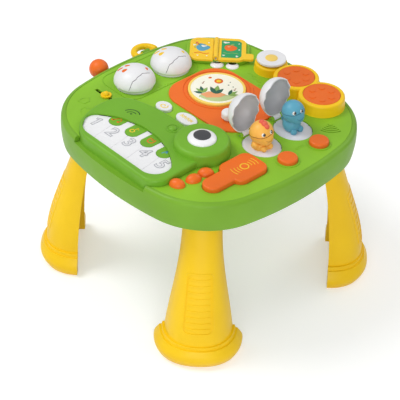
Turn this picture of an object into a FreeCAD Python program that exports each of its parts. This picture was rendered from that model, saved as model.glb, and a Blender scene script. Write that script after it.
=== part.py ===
import FreeCAD, Part
import math
import os

from FreeCAD import Vector

# Musical activity table on four detachable splayed legs.
# Millimetres, +Z up. The floor is z = 0 and the crocodile piano faces -Y.
# Everything is laid out about the table's own centre line. Only the last step moves it sideways,
# so that the origin is on the floor under the middle of the overall width.

# Table top
HALF_WIDTH = 180.0          # half the width across the flat sides, at the fullest height of the skirt
SIDE_RADIUS = 484.0         # the four sides are slightly bowed
CORNER_RADIUS = 105.0
SKIRT_BOTTOM = 209.0
PANEL_TOP = 252.0
PANEL_WALL = 3.0
SKIRT_WALL = 3.2
SKIRT_DRAFT = 2.7           # how far the lower edge of the skirt is drawn in
RIM_ROUND = 6.0
CREASE = 7.4                # from the fullest outline in to the joint of rim and top panel
LEDGE_WIDTH = 6.5
LEDGE_DEPTH = 8.0
COVER_WALL = 3.0
SHELL_GAP = 0.3             # between fixed shells that are assembled side by side

# Fits of what moves
RUNNING_GAP = 0.4           # round a button or pad in its opening
PIN_RADIUS = 1.5
PIN_GAP = 0.05
FLANGE_WALL = 2.6
FLANGE_LIP = 2.0            # a button's flange is this much wider than its opening
REST_GAP = 0.3              # between a flange and the panel that stops it

# Legs, along the diagonals
LEG_WALL = 3.0
LEG_POWER = 2.25            # 2 is a half ellipse in plan, more is squarer
LEG_STATIONS = (0.0, 45.0, 90.0, 131.0, 172.0, 209.0)
LEG_INNER = (179.0, 178.5, 175.5, 170.5, 163.0, 153.0)
LEG_DEPTH = (47.0, 48.5, 42.0, 33.5, 27.5, 24.0)
LEG_HALF = (51.0, 44.5, 37.5, 31.0, 27.0, 25.0)
TENON_LENGTH = 18.0
TENON_STEP = 2.0
TENON_GAP = 0.3
COLLAR_WALL = 2.4
BUMPER_HEIGHT = 27.0
BUMPER_BULGE = 11.5
BUMPER_FOOT = 6.0
STEP_HEIGHT = 5.0
STEP_BULGE = 3.6
RIB_COUNT = 9
RIB_RAISE = 0.9
RIB_THICK = 1.5
RIB_LOW = 52.0
RIB_HIGH = 138.0

# Crocodile piano
CROC_RISE = 10.0
CROC_SINK = 8.0             # the front wall reaches this far below the panel, in the rim's notch
CROC_ROUND = 4.0
CROC_SKIN = 2.4
BED_DEPTH = 12.4            # from the crocodile's top down to the floor of the key bed
WHITE_RECESS = 3.4
NOTE_RECESS = 2.8
KEY_THICK = 5.0
KEY_GAP = 0.35
KEY_ARM = 8.0
KEY_HUB = 3.6
ROD_Y = -88.0
ROD_DROP = 8.0              # from the crocodile's top down to the rod's centre line
BED_BACK = -96.0
BED_FRONT = -162.0
DIVIDERS_BACK = (-61.0, -27.7, 3.4, 34.9)
DIVIDER_LEAN = 9.0
NOTE_WIDTH = 21.0
NOTE_FRONT = -123.0
EYE_X = 55.6
EYE_Y = -64.8
EYE_BOSS_RADIUS = 37.0
EYE_BOSS_TAPER = 2.0
EYE_BOSS_RISE = 20.0
EYE_RADIUS = 19.5
EYE_RISE = 6.5
PUPIL_RADIUS = 11.7

# Turntable
DECK_X = -12.0
DECK_Y = 38.5
DECK_LENGTH = 146.0
DECK_WIDTH = 113.0
DECK_ROUND = 36.0
DECK_RISE = 2.5
DECK_LEFT = DECK_X - DECK_LENGTH / 2
DECK_RIGHT = DECK_X + DECK_LENGTH / 2
DECK_BACK = DECK_Y + DECK_WIDTH / 2
DISC_X = -34.0
DISC_Y = 46.0
DISC_RADIUS = 40.5
DISC_RING = 3.6
DISC_THICK = 3.2
SPINDLE_RADIUS = 3.0
ARM_X = 27.0
ARM_Y = 10.0
ARM_REACH = 40.0
ARM_HALF = 8.0
ARM_PIVOT = 2.4
ARM_LIFT = 3.6              # the arm's underside above the deck, to pass over the disc
ARM_TURN = 7.0              # degrees that the arm leans towards the disc

# Pop-up eggs
LID_CLEAR = 8.5             # from the edge of the deck to the hinge line
LID_X = DECK_RIGHT + LID_CLEAR
LID_YS = (4.5, 63.0)
LID_LENGTH = 57.0
LID_WIDTH = 50.0
LID_DEPTH = 24.0
LID_WALL = 2.0
LID_TOOTH = 2.6
LID_RISE = 2.4              # hinge line above the panel
KNUCKLE_RADIUS = 3.4
KNUCKLE_HALF = 6.0
EAR_THICK = 4.0
WELL_WALL = 1.5
WELL_BOTTOM = 216.0
PLATFORM_THICK = 2.6
PLATFORM_DROP = 1.5         # below the panel when the figure is up
CHICK_HEAD = 16.5
CHICK_HEAD_Z = 21.5
DINO_HEAD = 15.6
DINO_HEAD_Z = 29.0

# Buttons
POP_CLEAR = 17.5            # from the end of the lids to the middle of the buttons
POP_X = LID_X + LID_LENGTH + POP_CLEAR
POP_YS = (7.0, 66.0)
POP_RADIUS = 13.5
POP_RISE = 6.5
EGG_XY = ((-121.5, -29.4), (-121.3, 38.3))
EGG_RADIUS = 29.5
EGG_RISE = 28.0
EGG_TUCK = 3.0
EGG_NECK = 2.1              # straight part that dips into the panel when pressed
EGG_FULL = 6.0              # height of the widest ring
CHIP_ROUND_XY = (-51.0, -37.0)
CHIP_ROUND_SIZE = (25.0, 21.0)
CHIP_OVAL_XY = (-8.0, -34.0)
CHIP_OVAL_SIZE = (35.0, 23.0)
CHIP_RISE = 4.0
SLIDER_Y = -79.0
SLIDER_X = -124.0
SLOT_FROM = -146.0
SLOT_TO = -109.0
SLOT_WIDTH = 5.0
SLIDER_RADIUS = 7.6

# Hammer rocker
HAMMER_X = 122.0
HAMMER_HEAD_Y = -53.0
HAMMER_HEAD_LENGTH = 56.0
HAMMER_HEAD_WIDTH = 47.0
HAMMER_GRIP_WIDTH = 27.0
HAMMER_END_Y = -120.0
HAMMER_RISE = 6.5
HAMMER_SINK = 6.0
HAMMER_GAP = 0.8
HAMMER_PIN_Y = -110.0
CREST = ((96.5, -95.0, 11.0, 50.0), (96.0, -116.0, 11.0, 75.0), (90.0, -139.0, 11.0, 25.0))
CREST_WIDTH = 8.5
CREST_RISE = 8.5

# Drums
DRUM_XY = ((28.0, 139.0), (82.0, 134.0))
DRUM_RADIUS = 32.0
DRUM_RISE = 17.0
PAD_RADIUS = 26.0
PAD_THICK = 10.0
FRIED_XY = (-26.5, 144.0)
FRIED_BASE = 23.0
FRIED_RISE = 13.0
FRIED_RADIUS = 21.0
FRIED_STEM = 15.0
FRIED_THICK = 3.2
YOLK_RADIUS = 9.0
PRESS_TRAVEL = 2.5

# Book, on the back left corner; its long side runs along the diagonal
BOOK_CLEAR = 25.72078       # its middle out from the corner of the turntable's deck, along (-1, 1)
BOOK_OUT = (DECK_BACK - DECK_LEFT) / math.sqrt(2) + BOOK_CLEAR
BOOK_HALF = 29.0
LEFT_PAGE = 38.0
RIGHT_PAGE = 43.0
SPINE_ALONG = 4.0
SPINE_RADIUS = 3.6
PAGE_THICK = 3.4
PAGE_ROUND = 13.0
PAD_RISE = 5.5
PAD_MARGIN = 5.0
TAB_LENGTH = 11.0
FACE_EYES = ((DECK_LEFT + 1.0, DECK_BACK - 2.0, 10.0), (DECK_LEFT + 18.0, DECK_BACK + 12.0, 9.5))

# Left edge toys
BALL_RADIUS = 14.0
BALL_OUT = 15.5             # its middle beyond the side of the table
BALL_X = -HALF_WIDTH - BALL_OUT
BALL_Y = -33.0
EDGE_TOY_Z = 242.0
STALK_RADIUS = 3.4
STALK_INSET = 13.0
STALK_PIVOT_X = STALK_INSET - HALF_WIDTH
STALK_HUB = 4.4
LOOP_Y = 46.0
LOOP_OUT = 5.0              # its bar beyond the side of the table
LOOP_X = -HALF_WIDTH - LOOP_OUT
LOOP_RADIUS = 17.0
LOOP_TUBE = 4.8
LOOP_BAR = 2.6
LOOP_KNUCKLE = 6.0

# Inside
BOARD_Z = 233.0
BOARD_THICK = 1.6
DOME_PAD_RADIUS = 5.0
CELL_RADIUS = 7.1
CELL_LENGTH = 49.0
DOOR_X = -20.0
DOOR_LENGTH = 66.0
DOOR_WIDTH = 56.0
SPEAKER_XY = (128.0, 104.0)
SPEAKER_RADIUS = 18.0
SCREW_XY = ((-152.0, 4.0), (152.0, 36.5), (0.0, -150.0), (0.0, 150.0), (-60.0, -95.0), (60.0, 95.0))
SCREW_RADIUS = 2.0
TOWER_RADIUS = 5.0
SCREW_HEAD = 3.6

UP = Vector(0, 0, 1)
ORIGIN = Vector(0, 0, 0)
CROC_TOP = PANEL_TOP + CROC_RISE
CROC_BOTTOM = PANEL_TOP - CROC_SINK
PANEL_BOTTOM = PANEL_TOP - PANEL_WALL
LID_Z = PANEL_TOP + LID_RISE
nodes = {}
pins = []


# Shared shapes


def cylinder(x, y, z, radius, height, axis=UP):
    return Part.makeCylinder(radius, height, Vector(x, y, z), axis)


def box(x0, x1, y0, y1, z0, z1):
    return Part.makeBox(x1 - x0, y1 - y0, z1 - z0, Vector(x0, y0, z0))


def fused(first, *others):
    return first.fuse(list(others)).removeSplitter()


def soft_edges(shape, radius, wanted):
    # Round every edge that the test picks
    picked = [edge for edge in shape.Edges if wanted(edge)]
    return shape.makeFillet(radius, picked) if picked else shape


def at_height(z):
    return lambda edge: abs(edge.BoundBox.ZMin - z) < 0.01 and abs(edge.BoundBox.ZMax - z) < 0.01


def corner_centre():
    reach = SIDE_RADIUS - HALF_WIDTH
    turn = SIDE_RADIUS - CORNER_RADIUS
    return (-reach + math.sqrt(2 * turn * turn - reach * reach)) / 2


def table_wire(inset, z):
    # Rounded square of eight tangent arcs, drawn in by the inset
    middle = corner_centre()
    lean = math.atan2(middle, middle + SIDE_RADIUS - HALF_WIDTH)
    side = SIDE_RADIUS - inset
    corner = CORNER_RADIUS - inset
    edges = []
    for quarter in range(4):
        turn = quarter * math.pi / 2
        spin = FreeCAD.Rotation(UP, math.degrees(turn))
        side_centre = Vector(HALF_WIDTH - SIDE_RADIUS, 0, z)
        round_centre = Vector(middle, middle, z)
        runs = (
            (side_centre, side, -lean, lean),
            (round_centre, corner, lean, math.pi / 2 - lean),
        )
        for centre, radius, start, stop in runs:
            angles = (start, (start + stop) / 2, stop)
            points = [centre + Vector(math.cos(a), math.sin(a), 0) * radius for a in angles]
            edges.append(Part.Arc(*[spin.multVec(p) for p in points]).toShape())
    return Part.Wire(edges)


def table_plate(inset, low, high):
    return Part.Face(table_wire(inset, low)).extrude(Vector(0, 0, high - low))


def rounded_plate(x, y, length, width, corner, low, high):
    plate = box(x - length / 2, x + length / 2, y - width / 2, y + width / 2, low, high)
    upright = lambda edge: abs(edge.BoundBox.ZLength - (high - low)) < 0.01
    return soft_edges(plate, corner, upright)


def oval_plate(x, y, length, width, low, high):
    # Ellipse with its long axis along X
    ring = Part.Ellipse(Vector(x, y, low), length / 2, width / 2)
    return Part.Face(Part.Wire(ring.toShape())).extrude(Vector(0, 0, high - low))


def turned(points, x, y):
    # Revolve a closed (radius, z) outline about the upright line through x, y
    wire = Part.makePolygon([Vector(r, 0, z) for r, z in points + points[:1]])
    solid = Part.Face(wire).revolve(ORIGIN, UP, 360)
    solid.translate(Vector(x, y, 0))
    return solid


def dome(x, y, z, radius, rise, long_scale=1.0):
    # The upper half of an ellipsoid
    ball = Part.makeSphere(radius, ORIGIN, UP, 0, 90, 360)
    grow = FreeCAD.Matrix()
    grow.scale(long_scale, 1.0, rise / radius)
    shape = ball.transformGeometry(grow)
    shape.translate(Vector(x, y, z))
    return shape


def polygon_plate(points, low, high):
    wire = Part.makePolygon([Vector(x, y, low) for x, y in points + points[:1]])
    return Part.Face(wire).extrude(Vector(0, 0, high - low))


# Legs


def leg_curve(inner, half, depth, z):
    # Half of a superellipse, from one tip round the outside to the other
    count = 10
    points = []
    for step in range(count + 1):
        angle = -math.pi / 2 + math.pi * step / count
        out = abs(math.cos(angle)) ** (2 / LEG_POWER)
        side = abs(math.sin(angle)) ** (2 / LEG_POWER) * (1 if angle > 0 else -1)
        points.append(Vector(inner + depth * out, half * side, z))
    curve = Part.BSplineCurve()
    curve.interpolate(points)
    return curve.toShape()


def leg_section(station, grow, z=None, mouth=0.0):
    # Closed D whose flat side faces the middle of the table, drawn out straight by the mouth
    inner = LEG_INNER[station]
    height = LEG_STATIONS[station] if z is None else z
    outer = leg_curve(inner, LEG_HALF[station] + grow, LEG_DEPTH[station] + grow, height)
    points = [outer.Vertexes[-1].Point, outer.Vertexes[0].Point]
    if mouth:
        back = Vector(-mouth, 0, 0)
        points = [points[0], points[0] + back, points[1] + back, points[1]]
    lines = [Part.makeLine(points[i], points[i + 1]) for i in range(len(points) - 1)]
    return Part.Wire([outer] + lines)


def leg_loft(grow, mouth=0.0):
    wires = [leg_section(s, grow, mouth=mouth) for s in range(len(LEG_STATIONS))]
    return Part.makeLoft(wires, True, False)


def leg_size_at(z):
    # Straight reading between the two nearest stations, for the foot's bands
    span = LEG_STATIONS[1] - LEG_STATIONS[0]
    share = z / span
    inner = LEG_INNER[0] + share * (LEG_INNER[1] - LEG_INNER[0])
    half = LEG_HALF[0] + share * (LEG_HALF[1] - LEG_HALF[0])
    depth = LEG_DEPTH[0] + share * (LEG_DEPTH[1] - LEG_DEPTH[0])
    return inner, half, depth


def foot_band(bulges, heights, ruled=False):
    wires = []
    for bulge, z in zip(bulges, heights):
        inner, half, depth = leg_size_at(z)
        outer = leg_curve(inner, half + bulge, depth + bulge, z)
        line = Part.makeLine(outer.Vertexes[-1].Point, outer.Vertexes[0].Point)
        wires.append(Part.Wire([outer, line]))
    return Part.makeLoft(wires, True, ruled)


def rib_pattern():
    # Prisms that point outward, cut to the leg's skin later
    reach = LEG_INNER[0] + 2 * LEG_DEPTH[0]
    bars = []
    step = (RIB_HIGH - RIB_LOW) / (RIB_COUNT + 1)
    low_half = 0.34 * LEG_HALF[0]
    high_half = 0.27 * LEG_HALF[0]
    for number in range(1, RIB_COUNT + 1):
        z = RIB_LOW + number * step
        half = low_half + (high_half - low_half) * number / (RIB_COUNT + 1)
        bars.append(box(0, reach, -half, half, z - RIB_THICK / 2, z + RIB_THICK / 2))
    outer = [(-low_half - 5, RIB_LOW), (low_half + 5, RIB_LOW), (high_half + 4, RIB_HIGH), (-high_half - 4, RIB_HIGH)]
    points = [Vector(0, t, z) for t, z in outer]
    plate = Part.Face(Part.makePolygon(points + points[:1])).extrude(Vector(reach, 0, 0))
    along = lambda edge: abs(edge.BoundBox.XLength - reach) < 0.01
    plate = soft_edges(plate, 7.0, along)
    points = [Vector(0, t * 0.88, z + (RIB_THICK + 0.2) * (1 if z < 90 else -1)) for t, z in outer]
    inside = Part.Face(Part.makePolygon(points + points[:1])).extrude(Vector(reach, 0, 0))
    inside = soft_edges(inside, 6.0, along)
    return Part.makeCompound([plate.cut(inside)] + bars)


def leg_blank():
    # One leg along +X, before it is turned to its corner
    outer = leg_loft(0)
    raised = leg_loft(RIB_RAISE).common(rib_pattern())
    bulges = (BUMPER_FOOT, BUMPER_BULGE - 2.4, BUMPER_BULGE, BUMPER_BULGE - 2.4, BUMPER_FOOT)
    heights = [BUMPER_HEIGHT * share for share in (0.0, 0.2, 0.5, 0.8, 1.0)]
    bumper = foot_band(bulges, heights)
    step_top = BUMPER_HEIGHT + STEP_HEIGHT
    step = foot_band((STEP_BULGE, STEP_BULGE * 0.8), (BUMPER_HEIGHT, step_top), True)
    top = len(LEG_STATIONS) - 1
    tenon_face = Part.Face(leg_section(top, -TENON_STEP))
    tenon = tenon_face.extrude(Vector(0, 0, TENON_LENGTH))
    solid = fused(outer, bumper, step, tenon)
    solid = solid.fuse(raised)
    hollow = leg_loft(-LEG_WALL, 2 * LEG_WALL)
    core_face = Part.Face(leg_section(top, -TENON_STEP - LEG_WALL + 0.5))
    core = core_face.extrude(Vector(0, 0, TENON_LENGTH - LEG_WALL))
    return solid.cut([hollow, core])


def socket_blank(grow, low, high):
    top = len(LEG_STATIONS) - 1
    face = Part.Face(leg_section(top, grow - TENON_STEP, low))
    return face.extrude(Vector(0, 0, high - low))


CORNERS = {"front_right": -45, "back_right": 45, "back_left": 135, "front_left": -135}


def at_corner(shape, degrees):
    copy = shape.copy()
    copy.rotate(ORIGIN, UP, degrees)
    return copy


def make_legs():
    blank = leg_blank()
    for place, degrees in CORNERS.items():
        nodes["leg_" + place] = at_corner(blank, degrees)


# Crocodile piano outlines


def croc_wire(z):
    p = lambda x, y: Vector(x, y, z)
    edges = [
        Part.makeLine(p(-50, -171), p(58, -171)),
        Part.Arc(p(58, -171), p(75, -163), p(81, -146)).toShape(),
        Part.makeLine(p(81, -146), p(79, -84)),
        Part.Arc(p(79, -84), p(60, -54), p(20, -54)).toShape(),
        Part.Arc(p(20, -54), p(-40, -52), p(-82, -62)).toShape(),
        Part.Arc(p(-82, -62), p(-100, -76), p(-106, -100)).toShape(),
        Part.Arc(p(-106, -100), p(-103.5, -122), p(-96, -142)).toShape(),
        Part.Arc(p(-96, -142), p(-79, -162.5), p(-50, -171)).toShape(),
    ]
    return Part.Wire(edges)


def croc_plate(low, high, grow=0.0):
    wire = croc_wire(low)
    if grow:
        wire = wire.makeOffset2D(grow, 0, False, False, False)
    face = Part.Face(wire)
    return face.extrude(Vector(0, 0, high - low))


def bed_plate(low, high, grow=0.0):
    p = lambda x, y: Vector(x, y, low)
    middle = (BED_BACK + BED_FRONT) / 2
    edges = [
        Part.Arc(p(66, -127), p(-12, BED_BACK), p(-86, -121)).toShape(),
        Part.Arc(p(-86, -121), p(-94, -134), p(-88, -147)).toShape(),
        Part.Arc(p(-88, -147), p(-80, -156), p(-64, BED_FRONT)).toShape(),
        Part.makeLine(p(-64, BED_FRONT), p(46, BED_FRONT)),
        Part.Arc(p(46, BED_FRONT), p(69, middle - 17), p(66, -127)).toShape(),
    ]
    wire = Part.Wire(edges)
    if grow:
        wire = wire.makeOffset2D(grow, 0, False, False, False)
    return Part.Face(wire).extrude(Vector(0, 0, high - low))


def note_plate(x, low, high, grow=0.0):
    half = NOTE_WIDTH / 2 + grow
    front = NOTE_FRONT - grow
    back = BED_BACK + 4
    p = lambda a, b: Vector(a, b, low)
    bend = 8.0
    edges = [
        Part.makeLine(p(x - half, back), p(x - half, front + bend)),
        Part.Arc(p(x - half, front + bend), p(x, front), p(x + half, front + bend)).toShape(),
        Part.makeLine(p(x + half, front + bend), p(x + half, back)),
        Part.makeLine(p(x + half, back), p(x - half, back)),
    ]
    return Part.Face(Part.Wire(edges)).extrude(Vector(0, 0, high - low))


def key_slice(number, low, high):
    # The strip of one white key between two leaning, curved dividers
    def divider(index, side):
        back = DIVIDERS_BACK[index] + side * KEY_GAP / 2
        lean = DIVIDER_LEAN
        return [(back - 3.0, -90.0), (back, -112.0), (back + lean * 0.6, -140.0), (back + lean, -163.0)]

    left = divider(number - 1, 1) if number else [(-120.0, -90.0), (-120.0, -163.0)]
    last = len(DIVIDERS_BACK)
    right = divider(number, -1) if number < last else [(100.0, -90.0), (100.0, -163.0)]
    return polygon_plate(left + right[::-1], low, high)


def arm_centres():
    bounds = (-93.0,) + DIVIDERS_BACK + (71.0,)
    return [(bounds[i] + bounds[i + 1]) / 2 for i in range(len(bounds) - 1)]


def key_arm(x, back_of_key, low):
    rod_z = CROC_TOP - ROD_DROP
    hub = cylinder(x - KEY_ARM / 2, ROD_Y, rod_z, KEY_HUB, KEY_ARM, Vector(1, 0, 0))
    arm = box(x - KEY_ARM / 2, x + KEY_ARM / 2, back_of_key, ROD_Y, rod_z - 1.6, rod_z + 1.6)
    return hub, arm


def rod_bore(x, width):
    rod_z = CROC_TOP - ROD_DROP
    return cylinder(x - width, ROD_Y, rod_z, PIN_RADIUS + PIN_GAP, 2 * width, Vector(1, 0, 0))


def make_keys():
    white_top = CROC_TOP - WHITE_RECESS
    note_top = CROC_TOP - NOTE_RECESS
    low = white_top - KEY_THICK
    bed = bed_plate(low, white_top, -KEY_GAP)
    notes = [note_plate(x, low - 1, white_top + 1, KEY_GAP) for x in DIVIDERS_BACK]
    for number, x in enumerate(arm_centres()):
        plate = bed.common(key_slice(number, low, white_top)).cut(notes)
        plate = plate.Solids[0]
        hub, arm = key_arm(x, -130.0, low)
        key = fused(plate, arm, hub).cut(rod_bore(x, KEY_ARM))
        nodes["white_key_%d" % (number + 1)] = key
    for number, x in enumerate(DIVIDERS_BACK):
        plate = note_plate(x, low, note_top)
        hub, arm = key_arm(x, BED_BACK, low)
        key = fused(plate, arm, hub).cut(rod_bore(x, KEY_ARM))
        nodes["note_key_%d" % (number + 1)] = key


def make_piano():
    body = croc_plate(CROC_BOTTOM, CROC_TOP)
    body = soft_edges(body, CROC_ROUND, at_height(CROC_TOP))
    boss_top = PANEL_TOP + EYE_BOSS_RISE
    boss = Part.makeCone(
        EYE_BOSS_RADIUS + EYE_BOSS_TAPER,
        EYE_BOSS_RADIUS,
        boss_top - PANEL_TOP,
        Vector(EYE_X, EYE_Y, PANEL_TOP),
        UP,
    )
    boss = soft_edges(boss, 5.5, at_height(boss_top))
    nostril = dome(4.0, -70.0, CROC_TOP - 0.2, 6.0, 3.4)
    ring = turned([(8.2, CROC_TOP - 0.5), (9.4, CROC_TOP - 0.5), (9.4, CROC_TOP + 0.5), (8.2, CROC_TOP + 0.5)], 4.0, -70.0)
    body = fused(body, boss, nostril, ring)
    bed_floor = CROC_TOP - BED_DEPTH
    skin_low = CROC_TOP - CROC_SKIN
    bed = bed_plate(bed_floor, CROC_TOP + 1)
    pocket = box(-90.0, 68.0, ROD_Y - 34, ROD_Y + KEY_HUB + 1.2, bed_floor, skin_low)
    rod_z = CROC_TOP - ROD_DROP
    rod_hole = cylinder(-96.0, ROD_Y, rod_z, PIN_RADIUS, 170.0, Vector(1, 0, 0))
    eye_seat = cylinder(EYE_X, EYE_Y, boss_top - 3, EYE_RADIUS + SHELL_GAP, 4)
    body = body.cut([bed, pocket, rod_hole, eye_seat])
    flange = croc_plate(PANEL_BOTTOM - 3, PANEL_BOTTOM, 2.0)
    flange = flange.common(table_plate(CREASE + LEDGE_WIDTH + SHELL_GAP, PANEL_BOTTOM - 4, PANEL_BOTTOM))
    body = fused(body, flange)
    nodes["piano_body"] = body
    nodes["key_rod"] = cylinder(-96.0, ROD_Y, rod_z, PIN_RADIUS, 170.0, Vector(1, 0, 0))
    white = dome(EYE_X, EYE_Y, boss_top, EYE_RADIUS, EYE_RISE)
    white = white.fuse(cylinder(EYE_X, EYE_Y, boss_top - 3, EYE_RADIUS, 3)).removeSplitter()
    pupil_z = boss_top + EYE_RISE - 2.6
    white = white.cut(cylinder(EYE_X, EYE_Y, pupil_z, PUPIL_RADIUS, 10))
    nodes["eye_white"] = white
    nodes["eye_pupil"] = fused(
        cylinder(EYE_X, EYE_Y, pupil_z, PUPIL_RADIUS - 0.1, 1.6),
        dome(EYE_X, EYE_Y, pupil_z + 1.6, PUPIL_RADIUS - 0.1, 1.8),
    )


# Buttons that move straight down


def chip_plate(xy, size, low, high, grow=0.0):
    return oval_plate(xy[0], xy[1], size[0] + 2 * grow, size[1] + 2 * grow, low, high)


def flange_round(x, y, radius):
    top = PANEL_BOTTOM - REST_GAP
    return cylinder(x, y, top - FLANGE_WALL, radius + FLANGE_LIP, FLANGE_WALL)


def stem(x, y):
    # Pushes the rubber dome on the circuit board
    low = BOARD_Z + BOARD_THICK + PRESS_TRAVEL + 2.4
    return cylinder(x, y, low, 3.0, PANEL_BOTTOM - low)


def dome_pad(x, y, height):
    return Part.makeCone(DOME_PAD_RADIUS, 3.0, height, Vector(x, y, BOARD_Z + BOARD_THICK), UP)


def make_buttons():
    for name, y in zip(("left", "right"), POP_YS):
        cap = cylinder(POP_X, y, PANEL_BOTTOM - 1, POP_RADIUS, PANEL_WALL + POP_RISE + 1)
        cap = soft_edges(cap, 3.0, at_height(PANEL_TOP + POP_RISE))
        nodes["pop_button_" + name] = fused(cap, flange_round(POP_X, y, POP_RADIUS), stem(POP_X, y))
    chips = {"round": (CHIP_ROUND_XY, CHIP_ROUND_SIZE), "oval": (CHIP_OVAL_XY, CHIP_OVAL_SIZE)}
    for name, (xy, size) in chips.items():
        cap = chip_plate(xy, size, PANEL_BOTTOM - 1, PANEL_TOP + CHIP_RISE)
        cap = soft_edges(cap, 1.6, at_height(PANEL_TOP + CHIP_RISE))
        top = PANEL_BOTTOM - REST_GAP
        flange = chip_plate(xy, size, top - FLANGE_WALL, top, FLANGE_LIP)
        nodes["egg_button_" + name] = fused(cap, flange, stem(*xy))
    for name, (x, y) in zip(("left", "right"), EGG_XY):
        nodes["egg_dome_" + name] = egg_dome(x, y)


def egg_dome(x, y):
    # A hollow shell on a neck that runs in the panel
    neck = EGG_RADIUS - EGG_TUCK
    z = PANEL_TOP + EGG_FULL
    upper = dome(x, y, z, EGG_RADIUS, EGG_RISE - EGG_FULL)
    lower = Part.makeCone(neck, EGG_RADIUS, EGG_FULL - EGG_NECK, Vector(x, y, PANEL_TOP + EGG_NECK), UP)
    tube = cylinder(x, y, PANEL_BOTTOM - 1, neck, PANEL_WALL + 1 + EGG_NECK)
    shape = fused(upper, lower, tube, flange_round(x, y, neck))
    inner = dome(x, y, z, EGG_RADIUS - 2.4, EGG_RISE - EGG_FULL - 2.4)
    inner_low = cylinder(x, y, PANEL_BOTTOM - 6, neck - 2.4, z - PANEL_BOTTOM + 6.01)
    post = cylinder(x, y, PANEL_BOTTOM - 1, 3.0, EGG_RISE + 2.5)
    return fused(shape.cut(fused(inner, inner_low)), post, stem(x, y))


def make_slider():
    cap = cylinder(SLIDER_X, SLIDER_Y, PANEL_TOP + 0.4, SLIDER_RADIUS, 2.2)
    knob = dome(SLIDER_X, SLIDER_Y, PANEL_TOP + 2.6, 4.6, 5.0)
    neck = box(SLIDER_X - 4, SLIDER_X + 4, SLIDER_Y - 2.2, SLIDER_Y + 2.2, PANEL_BOTTOM - 1, PANEL_TOP + 0.5)
    top = PANEL_BOTTOM - REST_GAP
    foot = box(SLIDER_X - 6, SLIDER_X + 6, SLIDER_Y - 6, SLIDER_Y + 6, top - 2.4, top)
    nodes["slider_knob"] = fused(cap, knob, neck, foot)


def hammer_plate(low, high, grow=0.0):
    half_head = HAMMER_HEAD_WIDTH / 2 + grow
    head = rounded_plate(
        HAMMER_X, HAMMER_HEAD_Y, 2 * half_head, HAMMER_HEAD_LENGTH + 2 * grow, 13.0 + grow, low, high
    )
    half_grip = HAMMER_GRIP_WIDTH / 2 + grow
    end = HAMMER_END_Y + HAMMER_GRIP_WIDTH / 2
    grip = box(HAMMER_X - half_grip, HAMMER_X + half_grip, end, HAMMER_HEAD_Y, low, high)
    tip = cylinder(HAMMER_X, end, low, half_grip, high - low)
    return fused(head, grip, tip)


def make_hammer():
    top = PANEL_TOP + HAMMER_RISE
    low = PANEL_TOP - HAMMER_SINK
    body = soft_edges(hammer_plate(low, top), 2.6, at_height(top))
    pin_z = low - 2.0
    half = HAMMER_GRIP_WIDTH / 2
    hub = cylinder(HAMMER_X - half + 3, HAMMER_PIN_Y, pin_z, 4.0, 2 * half - 6, Vector(1, 0, 0))
    bore = cylinder(HAMMER_X - half, HAMMER_PIN_Y, pin_z, PIN_RADIUS + PIN_GAP, 2 * half, Vector(1, 0, 0))
    nodes["hammer_lever"] = fused(body, hub).cut(bore)
    beads = []
    for x, y, long_half, degrees in CREST:
        bead = dome(0, 0, 0, CREST_WIDTH, CREST_RISE, long_half / CREST_WIDTH)
        bead.rotate(ORIGIN, UP, degrees)
        bead.translate(Vector(x, y, PANEL_TOP))
        beads.append(bead)
    nodes["crest_beads"] = fused(*beads).cut(croc_plate(CROC_BOTTOM, CROC_TOP + 1, SHELL_GAP))


# Turntable


def make_turntable():
    top = PANEL_TOP + DECK_RISE
    deck = rounded_plate(DECK_X, DECK_Y, DECK_LENGTH, DECK_WIDTH, DECK_ROUND, PANEL_TOP, top)
    deck = soft_edges(deck, 1.2, at_height(top))
    recess = cylinder(DISC_X, DISC_Y, top - 1.2, DISC_RADIUS + 0.8, 3)
    groove_ring = [(46.0, top - 0.8), (47.2, top - 0.8), (47.2, top + 1), (46.0, top + 1)]
    deck = deck.cut([recess, turned(groove_ring, DISC_X, DISC_Y)])
    spindle_top = top + 1.2
    spindle = cylinder(DISC_X, DISC_Y, PANEL_TOP, SPINDLE_RADIUS, spindle_top - PANEL_TOP)
    pivot = cylinder(ARM_X, ARM_Y, PANEL_TOP, ARM_PIVOT, ARM_LIFT + 4 + DECK_RISE)
    nodes["turntable_deck"] = fused(deck, spindle, pivot)
    low = top - 0.9
    face_radius = DISC_RADIUS - DISC_RING
    bore = cylinder(DISC_X, DISC_Y, low - 1, SPINDLE_RADIUS + PIN_GAP, spindle_top + REST_GAP - low + 1)
    plate = cylinder(DISC_X, DISC_Y, low, face_radius, DISC_THICK)
    nodes["picture_disc"] = plate.cut(bore)
    ring = cylinder(DISC_X, DISC_Y, low, DISC_RADIUS, DISC_THICK + 0.6)
    ring = soft_edges(ring, 1.2, at_height(low + DISC_THICK + 0.6))
    nodes["disc_ring"] = ring.cut(cylinder(DISC_X, DISC_Y, low - 1, face_radius, 9))
    make_tone_arm(top)


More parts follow.
